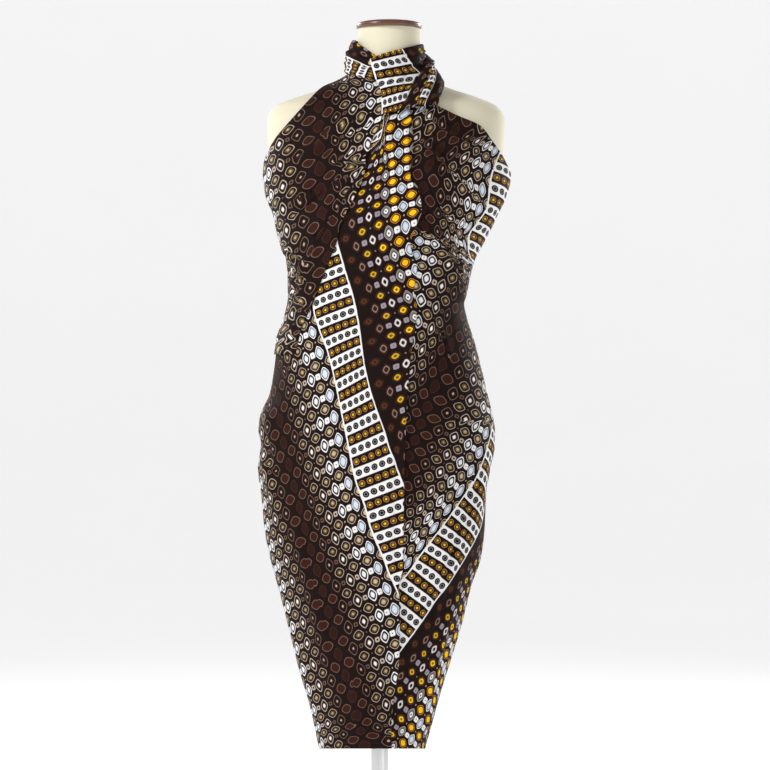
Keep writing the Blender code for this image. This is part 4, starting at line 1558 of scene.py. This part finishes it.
def ring_faces(rows, columns):
    """Faces between closed rings of points, each ring a row."""
    return [
        (j * columns + k, j * columns + n, (j + 1) * columns + n, (j + 1) * columns + k)
        for j in range(rows - 1)
        for k, n in zip(range(columns), [*range(1, columns), 0])
    ]


def round_mesh(name, points, finish):
    """A closed body from rings of points that share their number of columns."""
    rows, columns = points.shape[:2]
    last = (rows - 1) * columns
    faces = ring_faces(rows, columns)
    faces.append(tuple(range(columns))[::-1])
    faces.append(tuple(range(last, last + columns)))
    thing = smooth_thing(name, points.reshape(-1, 3), faces, finish)
    tidy = bmesh.new()
    tidy.from_mesh(thing.data)
    bmesh.ops.recalc_face_normals(tidy, faces=tidy.faces)
    tidy.to_mesh(thing.data)
    tidy.free()
    thing.data.set_sharp_from_angle(angle=math.radians(CAP_SHARP))
    return thing


def make_cover(finish):
    """The form's padded body in its knit cover."""
    rows, columns = COVER_GRID
    z = tall(np.linspace(FORM[-1][0], FORM[0][0], rows), columns)
    angle = np.broadcast_to(np.linspace(0, 2 * math.pi, columns, endpoint=False), COVER_GRID)
    return round_mesh("form_cover", point_on(form_reach, angle, z), finish)


def make_cap(finish):
    """The turned cap on the neck, with a bead between two grooves round its rim."""
    turn = np.linspace(0, 2 * math.pi, ROUND_COLUMNS, endpoint=False)
    around = [
        np.stack([r * np.sin(turn), -r * np.cos(turn), z + 0 * turn], axis=-1)
        for r, z in CAP_PROFILE
    ]
    return round_mesh("neck_cap", np.array(around) + CAP_MIDDLE, finish)


def sewn_path(path, up):
    """Evenly spaced stitches along a path: middle, direction and outward normal of each."""
    arc = arc_along(path[None])[0]
    spots = np.arange(STITCH_MARGIN, arc[-1] - STITCH_MARGIN, STITCH_STEP)

    def read(rows, at):
        return np.stack([np.interp(at, arc, rows[:, k]) for k in range(3)], axis=1)

    middle = read(path, spots)
    run = unit(read(path, spots + 1.0) - middle)
    out = unit(np.cross(run, read(up, spots)))
    return middle, run, out * np.sign((out * middle * LEVEL).sum(axis=1, keepdims=True))


def make_stitches(name, paths, finish):
    """One mesh of small thread stitches along hems, each a slim pointed bead."""
    points = []
    faces = []
    for path, up in paths:
        for middle, run, out in zip(*sewn_path(path, up)):
            base = len(points)
            lifted = middle + out * STITCH_LIFT
            half = run * STITCH_LENGTH / 2
            side = np.cross(run, out)
            points += [lifted - half, lifted + half]
            points += [lifted + way * STITCH_RADIUS for way in (side, -side, out, -out)]
            for a, b in ((2, 4), (4, 3), (3, 5), (5, 2)):
                faces += [(base, base + a, base + b), (base + 1, base + b, base + a)]
    return smooth_thing(name, np.array(points), faces, finish)


def stage():
    """A pale floor that rises into a far round wall, soft lights and a pale sky."""
    flat = FLOOR[-1][0]
    curve = [
        (flat + FLOOR_CURVE * math.sin(t), FLOOR_CURVE - FLOOR_CURVE * math.cos(t))
        for t in np.radians(range(10, 91, 10))
    ]
    profile = [*FLOOR, *curve, WALL_TOP]
    turn = np.linspace(0, 2 * math.pi, ROUND_COLUMNS, endpoint=False)
    points = [
        (r * math.sin(t), -r * math.cos(t), z - FLOOR_DROP) for r, z in profile for t in turn
    ]
    faces = [tuple(range(ROUND_COLUMNS))]
    faces += [face[::-1] for face in ring_faces(len(profile), ROUND_COLUMNS)]
    mesh = bpy.data.meshes.new("studio_floor")
    mesh.from_pydata(points, [], faces)
    mesh.shade_smooth()
    mesh.materials.append(studio_paper("studio_paper"))
    placed("studio_floor", mesh)

    for name, place, size, watts in LIGHTS:
        light = bpy.data.lights.new(name, "AREA")
        light.shape = "DISK"
        light.size = size
        light.energy = watts
        lamp = placed(name, light)
        lamp.location = place
        aim = Vector(LIGHTS_AIM) - Vector(place)
        lamp.rotation_euler = aim.to_track_quat("-Z", "Y").to_euler()

    world = bpy.data.worlds.new("studio_sky")
    world.use_nodes = True
    sky = world.node_tree.nodes["Background"]
    sky.inputs["Color"].default_value = (1.0, 1.0, 1.0, 1.0)
    sky.inputs["Strength"].default_value = SKY_STRENGTH
    bpy.context.scene.world = world


def camera():
    """Straight at the front, framed as the photograph is."""
    lens = bpy.data.cameras.new("camera")
    lens.sensor_width = SENSOR
    lens.lens = SENSOR * CAMERA_DISTANCE / (PHOTO_PIXELS * PHOTO_MM_PER_PIXEL * MM)
    eye = placed("camera", lens)
    middle = PHOTO_PIXELS / 2
    x = ((middle - PHOTO_AXIS_PX) * PHOTO_MM_PER_PIXEL + SHIFT[0]) * MM
    z = (PHOTO_TOP_Z - middle * PHOTO_MM_PER_PIXEL) * MM
    eye.location = (x, -CAMERA_DISTANCE, z)
    eye.rotation_euler = (math.pi / 2, 0.0, 0.0)
    bpy.context.scene.camera = eye


def carried(piece, node):
    """Rides a piece on the part's one body, in place of a node where one is given."""
    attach(piece, "root")
    if node:
        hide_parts(node)


def main():
    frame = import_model()
    cloth = cotton("printed_cotton")
    sewing = thread("hem_thread")

    heights = even_rows(BACK_TOP_Z, HEM_Z)
    *ends, bodice_offset, right_offset = back_ends(heights)
    wrap_left, left_hem = make_wrap_left(cloth)
    wrap_right, right_hem = make_wrap_right(cloth, right_offset)
    bodice, bodice_hem = make_bodice_left(cloth, bodice_offset)
    back, back_hem = make_wrap_back(cloth, ends, heights)
    hems = [(wrap_left, left_hem), (wrap_right, right_hem), (bodice, bodice_hem), (back, back_hem)]
    for piece, hem in hems:
        sewn = make_stitches(piece.name + "_stitches", hem, sewing)
        carried(sewn, None)
    over = strap_shell("strap_over_cloth", STRAP_OVER, OVER_CREASES, cloth)
    left = strap_shell("strap_left_cloth", STRAP_LEFT, LEFT_CREASES, cloth, LEFT_LAID, flip=True)
    tucked = [(row[0] - LOOP_TUCKED, *row[1:]) for row in LOOP]
    loop = strap_shell("loop_cloth", tucked, LOOP_CREASES, cloth, LOOP_LAID, ROLL_RISE, LOOP_ROLL)
    knot = make_knot(cloth)
    tails = [
        make_tail("tail_left_cloth", -1, 300, cloth), make_tail("tail_right_cloth", 1, 40, cloth),
    ]

    for piece, node, flat, area, held, rests in (
        (wrap_left, "wrap_left", (0.36, 1.07), 0.24, "draped", ["form_torso", "wrap_right"]),
        (wrap_right, "wrap_right", (0.30, 1.08), 0.22, "draped", ["form_torso"]),
        (bodice, "bodice_left", (0.24, 0.48), 0.078, "draped", ["form_torso", "wrap_left"]),
        (back, "wrap_back", (0.58, 0.93), 0.41, "draped", ["form_torso"]),
        (over, "strap_over", (0.07, 0.39), 0.0168, "gathered", ["strap_left", "wrap_left"]),
        (left, "strap_left", (0.07, 0.27), 0.0116, "gathered", ["form_torso"]),
        (loop, "loop_right", (0.09, 0.26), 0.0168, "gathered", ["wrap_right"]),
        (knot, "knot_back", (0.08, 0.065), 0.0048, "gathered", ["strap_over"]),
        (tails[0], "tail_left", (0.055, 0.15), 0.0079, "hung", ["knot_back"]),
        (tails[1], "tail_right", (0.055, 0.15), 0.0079, "hung", ["knot_back"]),
    ):
        carried(piece, node)

    cover = make_cover(jersey("cream_jersey"))
    carried(cover, "form_torso")
    carried(make_cap(varnished_wood("cap_wood")), "form_cap")
    metal = brushed_metal("brushed_stand")
    for name in ("form_collar", "form_pole", "form_base"):
        frame["nodes"][name].data.materials[0] = metal

    stage()
    camera()
    bpy.context.scene.view_settings.view_transform = "Standard"
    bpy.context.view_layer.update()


main()
